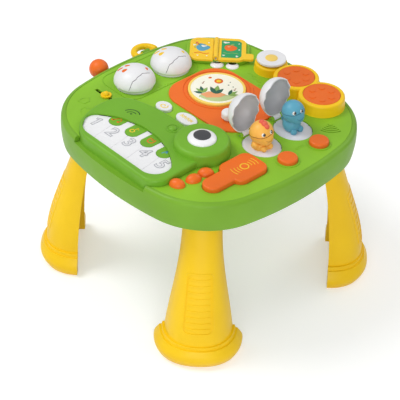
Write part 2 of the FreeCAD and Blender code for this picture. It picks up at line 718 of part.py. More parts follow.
def make_tone_arm(deck_top):
    low = deck_top + ARM_LIFT
    lean = math.radians(ARM_TURN)
    end_x = ARM_X - ARM_REACH * math.sin(lean)
    end_y = ARM_Y + ARM_REACH * math.cos(lean)
    foot = cylinder(ARM_X, ARM_Y, deck_top + REST_GAP, ARM_HALF - 1.5, low - deck_top)
    hub = cylinder(ARM_X, ARM_Y, low, ARM_HALF + 1.5, 9.0)
    hub = soft_edges(hub, 3.5, at_height(low + 9.0))
    bar = box(-ARM_HALF + 2, ARM_HALF - 2, 0, ARM_REACH - ARM_HALF / 2, low, low + 6.0)
    bar = soft_edges(bar, 2.0, lambda edge: edge.BoundBox.YLength > 20 and edge.BoundBox.ZMin > low + 1)
    bar.rotate(ORIGIN, UP, ARM_TURN)
    bar.translate(Vector(ARM_X, ARM_Y, 0))
    bore = cylinder(ARM_X, ARM_Y, deck_top - 1, ARM_PIVOT + PIN_GAP, low + 4.3 - deck_top + 1)
    arm = fused(foot, hub, bar).cut(bore)
    tip = cylinder(end_x, end_y, low, ARM_HALF - 1, 6.5)
    tip = soft_edges(tip, 2.8, at_height(low + 6.5))
    nodes["tone_arm"] = arm.cut(cylinder(end_x, end_y, low - 1, ARM_HALF - 1, 20))
    nodes["tone_arm_tip"] = tip


# Pop-up eggs


def egg_shell(y, wall):
    # Half egg lying closed over its well, rim down, in two quarter-lengths of different reach
    middle = LID_X + LID_LENGTH / 2
    shell = dome(middle, y, LID_Z, LID_WIDTH / 2 - wall, LID_DEPTH - wall, (LID_LENGTH / 2 - wall) / (LID_WIDTH / 2 - wall))
    return shell


def rim_teeth(y):
    # Zigzag prism that trims the rim, seen from the side
    points = []
    count = 8
    pitch = LID_LENGTH / count
    start = LID_X + pitch
    for step in range(count + 1):
        lift = LID_TOOTH if step % 2 else 0.3
        points.append((start + step * pitch, LID_Z + lift))
    low = LID_Z - 5
    outline = [(start, low)] + points + [(start + count * pitch, low)]
    wire = Part.makePolygon([Vector(x, y - LID_WIDTH, z) for x, z in outline + outline[:1]])
    return Part.Face(wire).extrude(Vector(0, 2 * LID_WIDTH, 0))


def knuckle(y, y_from, y_to, radius):
    return cylinder(LID_X - KNUCKLE_RADIUS, y + y_from, LID_Z, radius, y_to - y_from, Vector(0, 1, 0))


def make_lid(name, y):
    shell = egg_shell(y, 0).cut(egg_shell(y, LID_WALL)).cut(rim_teeth(y))
    arm = box(LID_X - KNUCKLE_RADIUS, LID_X + 3.5, y - KNUCKLE_HALF, y + KNUCKLE_HALF, LID_Z, LID_Z + 3.0)
    hub = knuckle(y, -KNUCKLE_HALF, KNUCKLE_HALF, KNUCKLE_RADIUS)
    lid = fused(shell, arm.cut(egg_shell(y, LID_WALL)), hub)
    lid = lid.cut(knuckle(y, -KNUCKLE_HALF - 1, KNUCKLE_HALF + 1, PIN_RADIUS + PIN_GAP))
    ear_reach = KNUCKLE_HALF + 2 * REST_GAP + EAR_THICK
    for y0, y1 in ((-ear_reach, -KNUCKLE_HALF), (KNUCKLE_HALF, ear_reach)):
        lid = lid.cut(knuckle(y, y0, y1, KNUCKLE_RADIUS + 2 * REST_GAP))
    lid.rotate(Vector(LID_X - KNUCKLE_RADIUS, y, LID_Z), Vector(0, 1, 0), -90)
    nodes[name] = lid


def lid_ears(y):
    ears = []
    base = PANEL_TOP - LID_Z
    for side in (-1, 1):
        near = side * (KNUCKLE_HALF + REST_GAP)
        far = side * (KNUCKLE_HALF + REST_GAP + EAR_THICK)
        y0, y1 = sorted((near, far))
        ear = knuckle(y, y0, y1, KNUCKLE_RADIUS)
        foot = box(
            LID_X - 2 * KNUCKLE_RADIUS, LID_X - 0.2, y + y0, y + y1, PANEL_TOP - 1, LID_Z
        )
        ears.append(ear.fuse(foot))
    return ears


def well_plate(y, low, high, grow=0.0):
    return oval_plate(LID_X + LID_LENGTH / 2, y, LID_LENGTH + 2 * grow, LID_WIDTH + 2 * grow, low, high)


def make_platform(name, y):
    high = PANEL_TOP - PLATFORM_DROP
    plate = well_plate(y, high - PLATFORM_THICK, high, -RUNNING_GAP)
    # Cracked-shell outline: shallow notches round the edge
    count = 12
    notches = []
    for step in range(count):
        angle = 2 * math.pi * (step + 0.5) / count
        x = LID_X + LID_LENGTH / 2 + (LID_LENGTH / 2 + 1.2) * math.cos(angle)
        side = y + (LID_WIDTH / 2 + 1.2) * math.sin(angle)
        notch = cylinder(x, side, high - PLATFORM_THICK - 1, 2.4, PLATFORM_THICK + 2)
        notches.append(notch)
    nodes[name] = plate.cut(notches)


def make_chick(y):
    base = PANEL_TOP - PLATFORM_DROP
    x = LID_X + LID_LENGTH / 2 - 2
    head_z = base + CHICK_HEAD_Z
    head = Part.makeSphere(CHICK_HEAD, Vector(x, y, head_z))
    muzzle = Part.makeSphere(11.5, Vector(x + 6.5, y, head_z - 4.5))
    belly = Part.makeCone(13.0, 11.0, 8.0, Vector(x, y, base), UP)
    feet = [Part.makeSphere(4.4, Vector(x + 11.5, y + side * 5.5, base + 3.0)) for side in (-1, 1)]
    wings = [Part.makeSphere(4.6, Vector(x + 1, y + side * 12.0, base + 7.5)) for side in (-1, 1)]
    slab = box(x - 40, x + 40, y - 40, y + 40, base - 20, base)
    figure = fused(head, muzzle, belly, *feet, *wings).cut(slab)
    lobes = []
    for number, (forward, side, radius) in enumerate(((9.0, 0.0, 3.6), (4.5, 0.0, 4.4), (-0.5, 0.0, 3.8))):
        lean = math.sqrt(CHICK_HEAD ** 2 - forward ** 2)
        lobes.append(Part.makeSphere(radius, Vector(x + forward, y + side, head_z + lean - 0.4)))
    comb = fused(*lobes).cut(head)
    nodes["chick_figure"] = figure
    nodes["chick_comb"] = comb.cut(muzzle)


def make_dino(y):
    base = PANEL_TOP - PLATFORM_DROP
    x = LID_X + LID_LENGTH / 2 - 2
    head_z = base + DINO_HEAD_Z
    head = Part.makeSphere(DINO_HEAD, Vector(x, y, head_z))
    muzzle = Part.makeSphere(11.0, Vector(x + 6.0, y, head_z - 4.0))
    belly = Part.makeSphere(12.5, Vector(x - 1, y, base + 9.0))
    feet = [Part.makeSphere(4.6, Vector(x + 9.5, y + side * 6.0, base + 3.2)) for side in (-1, 1)]
    tail = Part.makeCone(6.0, 1.5, 13.0, Vector(x - 7, y, base + 5.5), Vector(-1, 0, 0.25))
    slab = box(x - 40, x + 40, y - 40, y + 40, base - 20, base)
    nodes["dino_figure"] = fused(head, muzzle, belly, *feet, tail).cut(slab)


# Drums


def make_drums():
    solids = []
    cuts = []
    for x, y in DRUM_XY:
        low_radius = DRUM_RADIUS + 1.5
        drum = Part.makeCone(low_radius, DRUM_RADIUS, DRUM_RISE, Vector(x, y, PANEL_TOP), UP)
        solids.append(soft_edges(drum, 3.0, at_height(PANEL_TOP + DRUM_RISE)))
        cuts.append(cylinder(x, y, PANEL_TOP + 3, PAD_RADIUS + RUNNING_GAP, DRUM_RISE))
    x, y = FRIED_XY
    base = Part.makeCone(FRIED_BASE + 1.5, FRIED_BASE, FRIED_RISE, Vector(x, y, PANEL_TOP), UP)
    solids.append(soft_edges(base, 3.0, at_height(PANEL_TOP + FRIED_RISE)))
    cuts.append(cylinder(x, y, PANEL_TOP + 3, FRIED_STEM + RUNNING_GAP, DRUM_RISE))
    nodes["drum_frame"] = fused(*solids).cut(cuts)
    for name, (x, y) in zip(("left", "right"), DRUM_XY):
        nodes["drum_pad_" + name] = drum_pad(x, y)
    low = PANEL_TOP + 3 + PRESS_TRAVEL + 1.0
    plate_z = PANEL_TOP + FRIED_RISE + PRESS_TRAVEL + 0.6
    stalk = cylinder(FRIED_XY[0], FRIED_XY[1], low, FRIED_STEM, plate_z - low + 1)
    plate = cylinder(FRIED_XY[0], FRIED_XY[1], plate_z, FRIED_RADIUS, FRIED_THICK)
    plate = soft_edges(plate, 1.3, at_height(plate_z + FRIED_THICK))
    nodes["fried_egg_pad"] = fused(plate, stalk)
    top = plate_z + FRIED_THICK
    nodes["egg_yolk"] = dome(FRIED_XY[0] + 1.0, FRIED_XY[1] - 1.0, top, YOLK_RADIUS, 2.2)


def drum_pad(x, y):
    # Disc with a raised centre square and six shallow petals
    top = PANEL_TOP + DRUM_RISE + 0.6
    pad = cylinder(x, y, top - PAD_THICK, PAD_RADIUS, PAD_THICK)
    pad = soft_edges(pad, 1.6, at_height(top))
    petals = []
    for step in range(6):
        angle = math.radians(60 * step + 15)
        centre = Vector(x + 15.0 * math.cos(angle), y + 15.0 * math.sin(angle), top - 0.2)
        petals.append(Part.makeCylinder(4.6, 0.9, centre, UP))
    return fused(pad, *petals)


# Book on the back left corner


ALONG = Vector(1, 1, 0).normalize()
OUT = Vector(-1, 1, 0).normalize()


def book_point(along, out, z):
    return ALONG * along + OUT * out + UP * z


def book_slab(along0, along1, out0, out1, low, high, corner, keep=()):
    # Plate in the book's own directions; corners at the ends named in keep stay square
    slab = box(along0, along1, out0, out1, low, high)
    upright = []
    for edge in slab.Edges:
        if edge.BoundBox.ZLength < high - low - 0.01:
            continue
        end = "start" if abs(edge.BoundBox.XMin - along0) < 0.01 else "end"
        if end not in keep:
            upright.append(edge)
    if upright:
        slab = slab.makeFillet(corner, upright)
    slab.rotate(ORIGIN, UP, 45)
    return slab


def make_book():
    out0 = BOOK_OUT - BOOK_HALF
    out1 = BOOK_OUT + BOOK_HALF
    start = SPINE_ALONG - LEFT_PAGE
    stop = SPINE_ALONG + RIGHT_PAGE
    top = PANEL_TOP + PAD_RISE
    pad = book_slab(
        start - PAD_MARGIN, stop + PAD_MARGIN, out0 + 4, out1 + PAD_MARGIN - 1, PANEL_TOP, top, 18.0
    )
    pad = soft_edges(pad, 2.0, at_height(top))
    nodes["book_pad"] = pad
    gap = SPINE_RADIUS + 0.4
    left = book_slab(start, SPINE_ALONG - gap, out0, out1, top, top + PAGE_THICK, PAGE_ROUND, ("end",))
    left = soft_edges(left, 0.8, at_height(top + PAGE_THICK))
    low = top + 0.3
    right = book_slab(
        SPINE_ALONG + gap, stop, out0, out1, low, low + PAGE_THICK, PAGE_ROUND, ("start",)
    )
    tab = book_slab(stop - 6, stop + TAB_LENGTH, out0 + 4, out0 + 19, low, low + PAGE_THICK, 4.0)
    axis_z = top + SPINE_RADIUS
    hub = cylinder(0, 0, 0, SPINE_RADIUS, 16.0, OUT)
    hub.translate(book_point(SPINE_ALONG, out0 + 3.0, axis_z))
    hub_far = hub.copy()
    hub_far.translate(OUT * (2 * BOOK_HALF - 22.0))
    web = book_slab(SPINE_ALONG + 0.5, SPINE_ALONG + gap + 1, out0 + 3.0, out0 + 19.0, low, low + 3.0, 1.0, ("start", "end"))
    web_far = web.copy()
    web_far.translate(OUT * (2 * BOOK_HALF - 22.0))
    rod_length = 2 * BOOK_HALF - 6.0
    rod = cylinder(0, 0, 0, PIN_RADIUS, rod_length, OUT)
    rod.translate(book_point(SPINE_ALONG, out0 + 3.0, axis_z))
    pins.append(rod)
    bore = cylinder(0, 0, 0, PIN_RADIUS + PIN_GAP, 2 * BOOK_HALF + 4, OUT)
    bore.translate(book_point(SPINE_ALONG, out0 - 2, axis_z))
    nodes["book_leaf"] = fused(right, tab, hub, hub_far, web, web_far).cut(bore)
    post_from = out0 + 19.0 + REST_GAP
    post_to = out1 - 19.0 - REST_GAP
    post = cylinder(0, 0, 0, SPINE_RADIUS, post_to - post_from, OUT)
    post.translate(book_point(SPINE_ALONG, post_from, axis_z))
    block = book_slab(
        SPINE_ALONG - gap - 1, SPINE_ALONG + 2.4, post_from, post_to, top, top + 2.6, 1.0, ("start", "end")
    )
    hole = cylinder(0, 0, 0, PIN_RADIUS, 2 * BOOK_HALF, OUT)
    hole.translate(book_point(SPINE_ALONG, out0, axis_z))
    nodes["book_cover"] = left.fuse(fused(post, block)).cut(hole)
    eyes = [dome(x, y, PANEL_TOP, radius, 3.6) for x, y, radius in FACE_EYES]
    clear = pad.copy()
    nodes["face_eyes"] = Part.makeCompound([eye.cut(clear).Solids[0] for eye in eyes])


# Left edge toys


def ball_on_stalk():
    # One turned solid, with its axis along X
    neck = math.sqrt(BALL_RADIUS**2 - STALK_RADIUS**2)
    length = STALK_PIVOT_X - BALL_X
    start = Vector(-BALL_RADIUS, 0, 0)
    shoulder = Vector(neck, 0, STALK_RADIUS)
    end = Vector(length, 0, STALK_RADIUS)
    foot = Vector(length, 0, 0)
    outline = [
        Part.Arc(start, Vector(0, 0, BALL_RADIUS), shoulder).toShape(),
        Part.makeLine(shoulder, end),
        Part.makeLine(end, foot),
        Part.makeLine(foot, start),
    ]
    solid = Part.Face(Part.Wire(outline)).revolve(ORIGIN, Vector(1, 0, 0), 360)
    solid.translate(Vector(BALL_X, BALL_Y, EDGE_TOY_Z))
    return solid


def make_edge_toys():
    hub = cylinder(STALK_PIVOT_X, BALL_Y - 4, EDGE_TOY_Z, STALK_HUB, 8, Vector(0, 1, 0))
    bore = cylinder(STALK_PIVOT_X, BALL_Y - 6, EDGE_TOY_Z, PIN_RADIUS + PIN_GAP, 12, Vector(0, 1, 0))
    nodes["ball_lever"] = fused(ball_on_stalk(), hub).cut(bore)
    torus = Part.makeTorus(LOOP_RADIUS, LOOP_TUBE, Vector(LOOP_X, LOOP_Y, EDGE_TOY_Z))
    half = torus.common(box(LOOP_X - 40, LOOP_X, LOOP_Y - 40, LOOP_Y + 40, EDGE_TOY_Z - 9, EDGE_TOY_Z + 9))
    ends = [Part.makeSphere(LOOP_TUBE, Vector(LOOP_X, LOOP_Y + s * LOOP_RADIUS, EDGE_TOY_Z)) for s in (-1, 1)]
    bar = cylinder(LOOP_X, LOOP_Y - LOOP_RADIUS, EDGE_TOY_Z, LOOP_BAR, 2 * LOOP_RADIUS, Vector(0, 1, 0))
    nodes["pull_ring"] = fused(half, bar, *ends)


def edge_knuckle():
    # The clasp on the skirt that the ring's bar turns in
    grip = cylinder(LOOP_X, LOOP_Y - LOOP_KNUCKLE, EDGE_TOY_Z, LOOP_BAR + 2.0, 2 * LOOP_KNUCKLE, Vector(0, 1, 0))
    arm = box(LOOP_X, 6 - HALF_WIDTH, LOOP_Y - LOOP_KNUCKLE, LOOP_Y + LOOP_KNUCKLE, EDGE_TOY_Z - 2.6, EDGE_TOY_Z + 2.6)
    bore = cylinder(LOOP_X, LOOP_Y - 9, EDGE_TOY_Z, LOOP_BAR + PIN_GAP, 18, Vector(0, 1, 0))
    return grip.fuse(arm), bore


# Shells


def make_skirt():
    heights = (SKIRT_BOTTOM, (SKIRT_BOTTOM + PANEL_TOP) / 2, PANEL_TOP)
    insets = (SKIRT_DRAFT, 0.0, 1.0)
    wires = [table_wire(inset, z) for inset, z in zip(insets, heights)]
    outer = Part.makeLoft(wires, True, False)
    outer = soft_edges(outer, RIM_ROUND, at_height(PANEL_TOP))
    grip, bore = edge_knuckle()
    outer = outer.fuse(grip)
    ledge_low = PANEL_BOTTOM - LEDGE_DEPTH
    cavity = table_plate(SKIRT_DRAFT + SKIRT_WALL, SKIRT_BOTTOM - 1, ledge_low)
    opening = table_plate(CREASE + LEDGE_WIDTH, ledge_low - 1, PANEL_TOP)
    seat = table_plate(CREASE, PANEL_BOTTOM, PANEL_TOP + 1)
    notch = croc_plate(CROC_BOTTOM, PANEL_TOP + 1, SHELL_GAP)
    front = box(-76.0, 66.0, -HALF_WIDTH - 5, -160.0, CROC_BOTTOM, PANEL_TOP + 1)
    slot_half = STALK_RADIUS + 4.2
    pocket = box(-HALF_WIDTH - 2, STALK_PIVOT_X + 8, BALL_Y - 4.6, BALL_Y + 4.6, EDGE_TOY_Z - slot_half, PANEL_BOTTOM - 1)
    skirt = outer.cut([cavity, opening, seat, notch, front, pocket, bore])
    pin_hole = cylinder(STALK_PIVOT_X, BALL_Y - 9, EDGE_TOY_Z, PIN_RADIUS, 18, Vector(0, 1, 0))
    nodes["skirt"] = skirt.cut(pin_hole)


def ring_groove(x0, x1, y0, y1, corner, depth=0.7, width=1.3):
    outer = rounded_plate((x0 + x1) / 2, (y0 + y1) / 2, x1 - x0, y1 - y0, corner, PANEL_TOP - depth, PANEL_TOP + 1)
    inner = rounded_plate(
        (x0 + x1) / 2, (y0 + y1) / 2, x1 - x0 - 2 * width, y1 - y0 - 2 * width, corner - width, PANEL_TOP - depth - 1, PANEL_TOP + 2
    )
    return outer.cut(inner)


def sound_slots():
    # Five arcs that fan out from a point
    apex_x = SPEAKER_XY[0] - 7.0
    apex_y = SPEAKER_XY[1] + 8.0
    slots = []
    for number in range(5):
        radius = 5.0 + 4.2 * number
        ring = turned(
            [(radius, PANEL_BOTTOM - 1), (radius + 1.4, PANEL_BOTTOM - 1), (radius + 1.4, PANEL_TOP + 1), (radius, PANEL_TOP + 1)],
            apex_x,
            apex_y,
        )
        wedge_reach = 60.0
        points = [(0, 0)]
        for degrees in (-82, -44, -6):
            a = math.radians(degrees)
            points.append((wedge_reach * math.cos(a), wedge_reach * math.sin(a)))
        wedge = polygon_plate([(apex_x + px, apex_y + py) for px, py in points], PANEL_BOTTOM - 2, PANEL_TOP + 2)
        slots.append(ring.common(wedge))
    return slots


def make_top_panel():
    panel = table_plate(CREASE + SHELL_GAP / 2, PANEL_BOTTOM, PANEL_TOP)
    panel = panel.makeFillet(0.9, [edge for edge in panel.Edges if at_height(PANEL_TOP)(edge)])
    added = []
    cuts = [croc_plate(PANEL_BOTTOM - 1, PANEL_TOP + 1, SHELL_GAP)]
    cuts.append(box(-74.0, 62.0, -HALF_WIDTH, -165.5, PANEL_BOTTOM - 1, PANEL_TOP + 1))
    for y in LID_YS:
        added.append(well_plate(y, WELL_BOTTOM, PANEL_BOTTOM, WELL_WALL))
        added.extend(lid_ears(y))
        cuts.append(well_plate(y, WELL_BOTTOM - 1, PANEL_TOP + 5))
        cuts.append(knuckle(y, -14.0, 14.0, PIN_RADIUS))
        room = KNUCKLE_HALF + REST_GAP
        cuts.append(knuckle(y, -room, room, KNUCKLE_RADIUS + RUNNING_GAP))
    for y in POP_YS:
        added.append(cylinder(POP_X, y, PANEL_TOP - 1, POP_RADIUS + 3.4, 1.9))
        cuts.append(cylinder(POP_X, y, PANEL_BOTTOM - 1, POP_RADIUS + RUNNING_GAP, 9))
    for x, y in EGG_XY:
        cuts.append(cylinder(x, y, PANEL_BOTTOM - 1, EGG_RADIUS - EGG_TUCK + RUNNING_GAP, 9))
    cuts.append(chip_plate(CHIP_ROUND_XY, CHIP_ROUND_SIZE, PANEL_BOTTOM - 1, PANEL_TOP + 1, RUNNING_GAP))
    cuts.append(chip_plate(CHIP_OVAL_XY, CHIP_OVAL_SIZE, PANEL_BOTTOM - 1, PANEL_TOP + 1, RUNNING_GAP))
    cuts.append(box(SLOT_FROM, SLOT_TO, SLIDER_Y - SLOT_WIDTH / 2, SLIDER_Y + SLOT_WIDTH / 2, PANEL_BOTTOM - 1, PANEL_TOP + 1))
    cuts.append(hammer_plate(PANEL_BOTTOM - 1, PANEL_TOP + 1, HAMMER_GAP))
    cuts.append(ring_groove(-164.0, -88.0, -63.0, 72.0, 20.0))
    cuts.append(cylinder(DISC_X, DISC_Y, PANEL_TOP - 2, SPINDLE_RADIUS, 5))
    cuts.extend(sound_slots())
    for side in (-1, 1):
        x = HAMMER_X + side * (HAMMER_GRIP_WIDTH / 2 + HAMMER_GAP + 2.0)
        added.append(box(x - 1.6, x + 1.6, HAMMER_PIN_Y - 4, HAMMER_PIN_Y + 4, PANEL_TOP - HAMMER_SINK - 6, PANEL_BOTTOM))
    pin_z = PANEL_TOP - HAMMER_SINK - 2.0
    cuts.append(cylinder(HAMMER_X - 25, HAMMER_PIN_Y, pin_z, PIN_RADIUS, 50, Vector(1, 0, 0)))
    nodes["top_panel"] = panel.fuse(added).cut(cuts).removeSplitter()


def make_pins():
    pin_z = PANEL_TOP - HAMMER_SINK - 2.0
    half = HAMMER_GRIP_WIDTH / 2 + HAMMER_GAP + 3.6
    pins.append(cylinder(HAMMER_X - half, HAMMER_PIN_Y, pin_z, PIN_RADIUS, 2 * half, Vector(1, 0, 0)))
    reach = KNUCKLE_HALF + REST_GAP + EAR_THICK
    pins.extend(knuckle(y, -reach, reach, PIN_RADIUS) for y in LID_YS)
    pins.append(cylinder(STALK_PIVOT_X, BALL_Y - 9, EDGE_TOY_Z, PIN_RADIUS, 18, Vector(0, 1, 0)))
    nodes["hinge_pins"] = Part.makeCompound(pins)


def make_base():
    low = SKIRT_BOTTOM
    cover = table_plate(SKIRT_DRAFT + SKIRT_WALL + SHELL_GAP, low, low + COVER_WALL)
    added = []
    cuts = []
    high = low + TENON_LENGTH
    for degrees in CORNERS.values():
        added.append(at_corner(socket_blank(TENON_GAP + COLLAR_WALL, low, high + COLLAR_WALL), degrees))
        cuts.append(at_corner(socket_blank(TENON_GAP, low - 1, high + TENON_GAP), degrees))
    limit = table_plate(SKIRT_DRAFT + SKIRT_WALL + SHELL_GAP, low - 1, PANEL_BOTTOM)
    for x, y in SCREW_XY:
        under_board = abs(x) < 100 and abs(y) < 100
        reach = BOARD_Z if under_board else PANEL_BOTTOM - LEDGE_DEPTH
        added.append(cylinder(x, y, low, TOWER_RADIUS, reach - low))
        cuts.append(cylinder(x, y, low - 1, SCREW_RADIUS, 17))
        cuts.append(cylinder(x, y, low - 1, SCREW_HEAD + SHELL_GAP, 1 + 1.8))
    half_length = DOOR_LENGTH / 2
    half_width = DOOR_WIDTH / 2
    wall = box(DOOR_X - half_length - 2, DOOR_X + half_length + 2, -half_width - 2, half_width + 2, low, low + 19)
    inside = box(DOOR_X - half_length, DOOR_X + half_length, -half_width, half_width, low - 1, low + 17)
    added.append(wall)
    cuts.append(inside)
    shell = cover.fuse(added).common(limit)
    nodes["base_cover"] = shell.cut(cuts).removeSplitter()
    door = box(
        DOOR_X - half_length + SHELL_GAP,
        DOOR_X + half_length - SHELL_GAP,
        -half_width + SHELL_GAP,
        half_width - SHELL_GAP,
        low,
        low + 2.4,
    )
    nodes["battery_door"] = door
    cells = []
    contacts = []
    cell_z = low + 2.4 + CELL_RADIUS + 0.1
    for row in (-1, 0, 1):
        y = row * (2 * CELL_RADIUS + 1.0)
        cells.append(cylinder(DOOR_X - CELL_LENGTH / 2, y, cell_z, CELL_RADIUS, CELL_LENGTH, Vector(1, 0, 0)))
    nodes["battery_cells"] = Part.makeCompound(cells)
    for side in (-1, 1):
        inner = DOOR_X + side * (CELL_LENGTH / 2 + 0.2)
        outer = DOOR_X + side * (half_length - 0.2)
        x0, x1 = sorted((inner, outer))
        contacts.append(box(x0, x1, -22.0, 22.0, cell_z - 5, cell_z + 5))
    nodes["battery_contacts"] = Part.makeCompound(contacts)
    screws = []
    for x, y in SCREW_XY:
        head = cylinder(x, y, low + 0.2, SCREW_HEAD, 1.6)
        screws.append(head.fuse(cylinder(x, y, low + 1.7, SCREW_RADIUS, 14)))
    nodes["base_screws"] = Part.makeCompound(screws)


def make_inside():
    main = box(-140.0, 62.0, -98.0, 97.0, BOARD_Z, BOARD_Z + BOARD_THICK)
    side = box(POP_X - 14, POP_X + 16, -16.0, 84.0, BOARD_Z, BOARD_Z + BOARD_THICK)
    for x, y in SCREW_XY:
        side = side.cut(cylinder(x, y, BOARD_Z - 1, TOWER_RADIUS + SHELL_GAP, 4))
    nodes["circuit_board"] = Part.makeCompound([main, side])
    spots = list(EGG_XY) + [CHIP_ROUND_XY, CHIP_OVAL_XY] + [(POP_X, y) for y in POP_YS]
    nodes["rubber_domes"] = Part.makeCompound([dome_pad(x, y, 2.2) for x, y in spots])
    x, y = SPEAKER_XY
    basket = Part.makeCone(8.0, SPEAKER_RADIUS, 9.0, Vector(x, y, PANEL_BOTTOM - 9.3), UP)
    magnet = cylinder(x, y, PANEL_BOTTOM - 16.0, 9.5, 7.0)
    nodes["speaker_driver"] = fused(basket, magnet)


make_legs()
make_skirt()
make_top_panel()
make_base()
make_inside()
make_piano()
make_keys()
make_buttons()
make_slider()
make_hammer()
make_turntable()
for lid_name, lid_y in zip(("chick_lid", "dino_lid"), LID_YS):
    make_lid(lid_name, lid_y)
for platform_name, platform_y in zip(("chick_platform", "dino_platform"), LID_YS):
    make_platform(platform_name, platform_y)
make_chick(LID_YS[0])
make_dino(LID_YS[1])
make_drums()
make_book()
make_edge_toys()
make_pins()

# The ball stands out furthest on the left and the feet on the right
foot_reach = nodes["leg_front_right"].optimalBoundingBox(False).XMax
ball_reach = BALL_RADIUS - BALL_X
frame_shift = (ball_reach - foot_reach) / 2
print("table centre stands %.4f mm to +X of the origin" % frame_shift)
os.makedirs("parts", exist_ok=True)
for node, shape in nodes.items():
    shape.translate(Vector(frame_shift, 0, 0))
    good = shape.isValid() and len(shape.Solids) > 0
    print("%-20s solids %d valid %s volume %.0f" % (node, len(shape.Solids), good, shape.Volume))
    shape.exportStep("parts/" + node + ".step")
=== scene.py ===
import math

import bmesh
import bpy
from mathutils import Matrix, Vector
from mathutils.bvhtree import BVHTree
from mathutils.geometry import delaunay_2d_cdt


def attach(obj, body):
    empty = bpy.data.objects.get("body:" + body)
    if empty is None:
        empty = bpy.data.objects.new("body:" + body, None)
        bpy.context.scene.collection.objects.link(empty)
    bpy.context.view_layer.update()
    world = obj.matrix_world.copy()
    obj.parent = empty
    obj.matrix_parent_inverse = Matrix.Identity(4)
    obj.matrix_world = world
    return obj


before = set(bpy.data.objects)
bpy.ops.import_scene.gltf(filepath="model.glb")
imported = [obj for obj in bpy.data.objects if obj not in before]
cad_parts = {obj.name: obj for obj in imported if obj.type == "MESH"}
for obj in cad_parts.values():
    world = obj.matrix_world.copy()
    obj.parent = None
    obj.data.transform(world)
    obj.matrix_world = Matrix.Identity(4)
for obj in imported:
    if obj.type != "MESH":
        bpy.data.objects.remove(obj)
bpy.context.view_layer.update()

# Places are millimetres from the middle of the table; the frame lies this far to +X
SHIFT = 10.4586
MM = 0.001
DOWN = Vector((0.0, 0.0, -1.0))

# How far a print stands off the surface that carries it, and how thick it is
PRINT_LIFT = 0.09
PRINT_DEPTH = 0.22
MARK_LIFT = 0.45
MARK_DEPTH = 0.9
LAYER = 0.03                # between one ink and the next on the disc
PAGE_LAYER = 0.04           # and on the book's pages
SHELL_LIFT = 0.13
SHELL_DEPTH = 0.3
# Distance between the points inside an outline; on the eggs and the faces it is in degrees
STEP = 2.5
PANEL_STEP = 3.0
PAGE_STEP = 3.5
DISC_STEP = 4.0
FACE_STEP = 5.0
BLOB_POINTS = 30
LEAF_STEPS = 8
# Heights from which outlines are dropped on what lies below
ABOVE_ALL = 330.0
ABOVE_BOOK = 300.0

WHITE_TOP = 258.6
DIGIT_PLACES = ((-77.5, -133.8), (-45.0, -133.6), (-13.0, -132.2), (17.6, -131.6), (51.2, -131.4))
FONT_SIZE = 26.52
FONT_WIDEN = 0.45
DIGIT_TUBE = 0.55
DIGIT_FACE_HALF = 0.25
DISC_XY = (-34.0, 46.0)
CARD_RADIUS = 32.0
DECK_GROOVE_RADIUS = 51.5
HAMMER_XY = (123.0, -51.6)
CHEEK_XY = (-56.4, -92.4)
EGG_XY = ((-121.5, -29.4), (-121.3, 38.3))
EGG_MIDDLE_Z = 258.0
EGG_REACH = 0.08            # metres from the middle of an egg to where its rays start
HEAD_REACH = 0.04
FACE_REACH = 0.035
SHELL_X = 66.1
SHELL_YS = (4.5, 63.0)
SHELL_Z = 286.3
SHELL_HALF = (23.0, 24.0, 27.4)
CHICK_HEAD = Vector((96.0, 4.5, 272.0))
CHICK_MUZZLE = Vector((102.5, 4.5, 267.5))
DINO_HEAD = Vector((96.0, 63.0, 279.5))
DINO_MUZZLE = Vector((102.0, 63.0, 275.5))
SMALL_EYES = ((-84.0, 93.0, 10.0), (-67.0, 107.0, 9.5))
BOOK_ALONG = Vector((1.0, 1.0, 0.0)).normalized()
BOOK_OUT = Vector((-1.0, 1.0, 0.0)).normalized()

FLOOR_HALF = 6.0
FLOOR_GLOW = 0.36
WORLD_LIGHT = 0.50
CAMERA_PLACE = (1.2287, -1.1783, 1.4229)
CAMERA_VIEW = (-0.5698, 0.5459, -0.6143)
CAMERA_ROLL = 0.037
CAMERA_LENS = 136.0


def linear(colour):
    """sRGB 0-255 to linear RGBA"""
    out = []
    for c in colour:
        c /= 255.0
        out.append(c / 12.92 if c <= 0.04045 else ((c + 0.055) / 1.055) ** 2.4)
    return (*out, 1.0)


TOP_GREEN = (140, 196, 46)
# The skirt's green below is the top's green made darker: painted shade on the upright skirt, shared by
# the base cover and battery door beneath
SHADED_SKIRT_GREEN = (122, 174, 44)
CROC_GREEN = (116, 176, 44)
YELLOW = (255, 206, 22)
ORANGE = (240, 112, 34)
WHITE = (236, 236, 238)
GREY = (230, 230, 236)
BLUE = (92, 164, 190)
CHICK = (246, 184, 84)
RED = (226, 100, 78)
PAGE_GREEN = (48, 160, 98)
CREAM = (252, 250, 232)


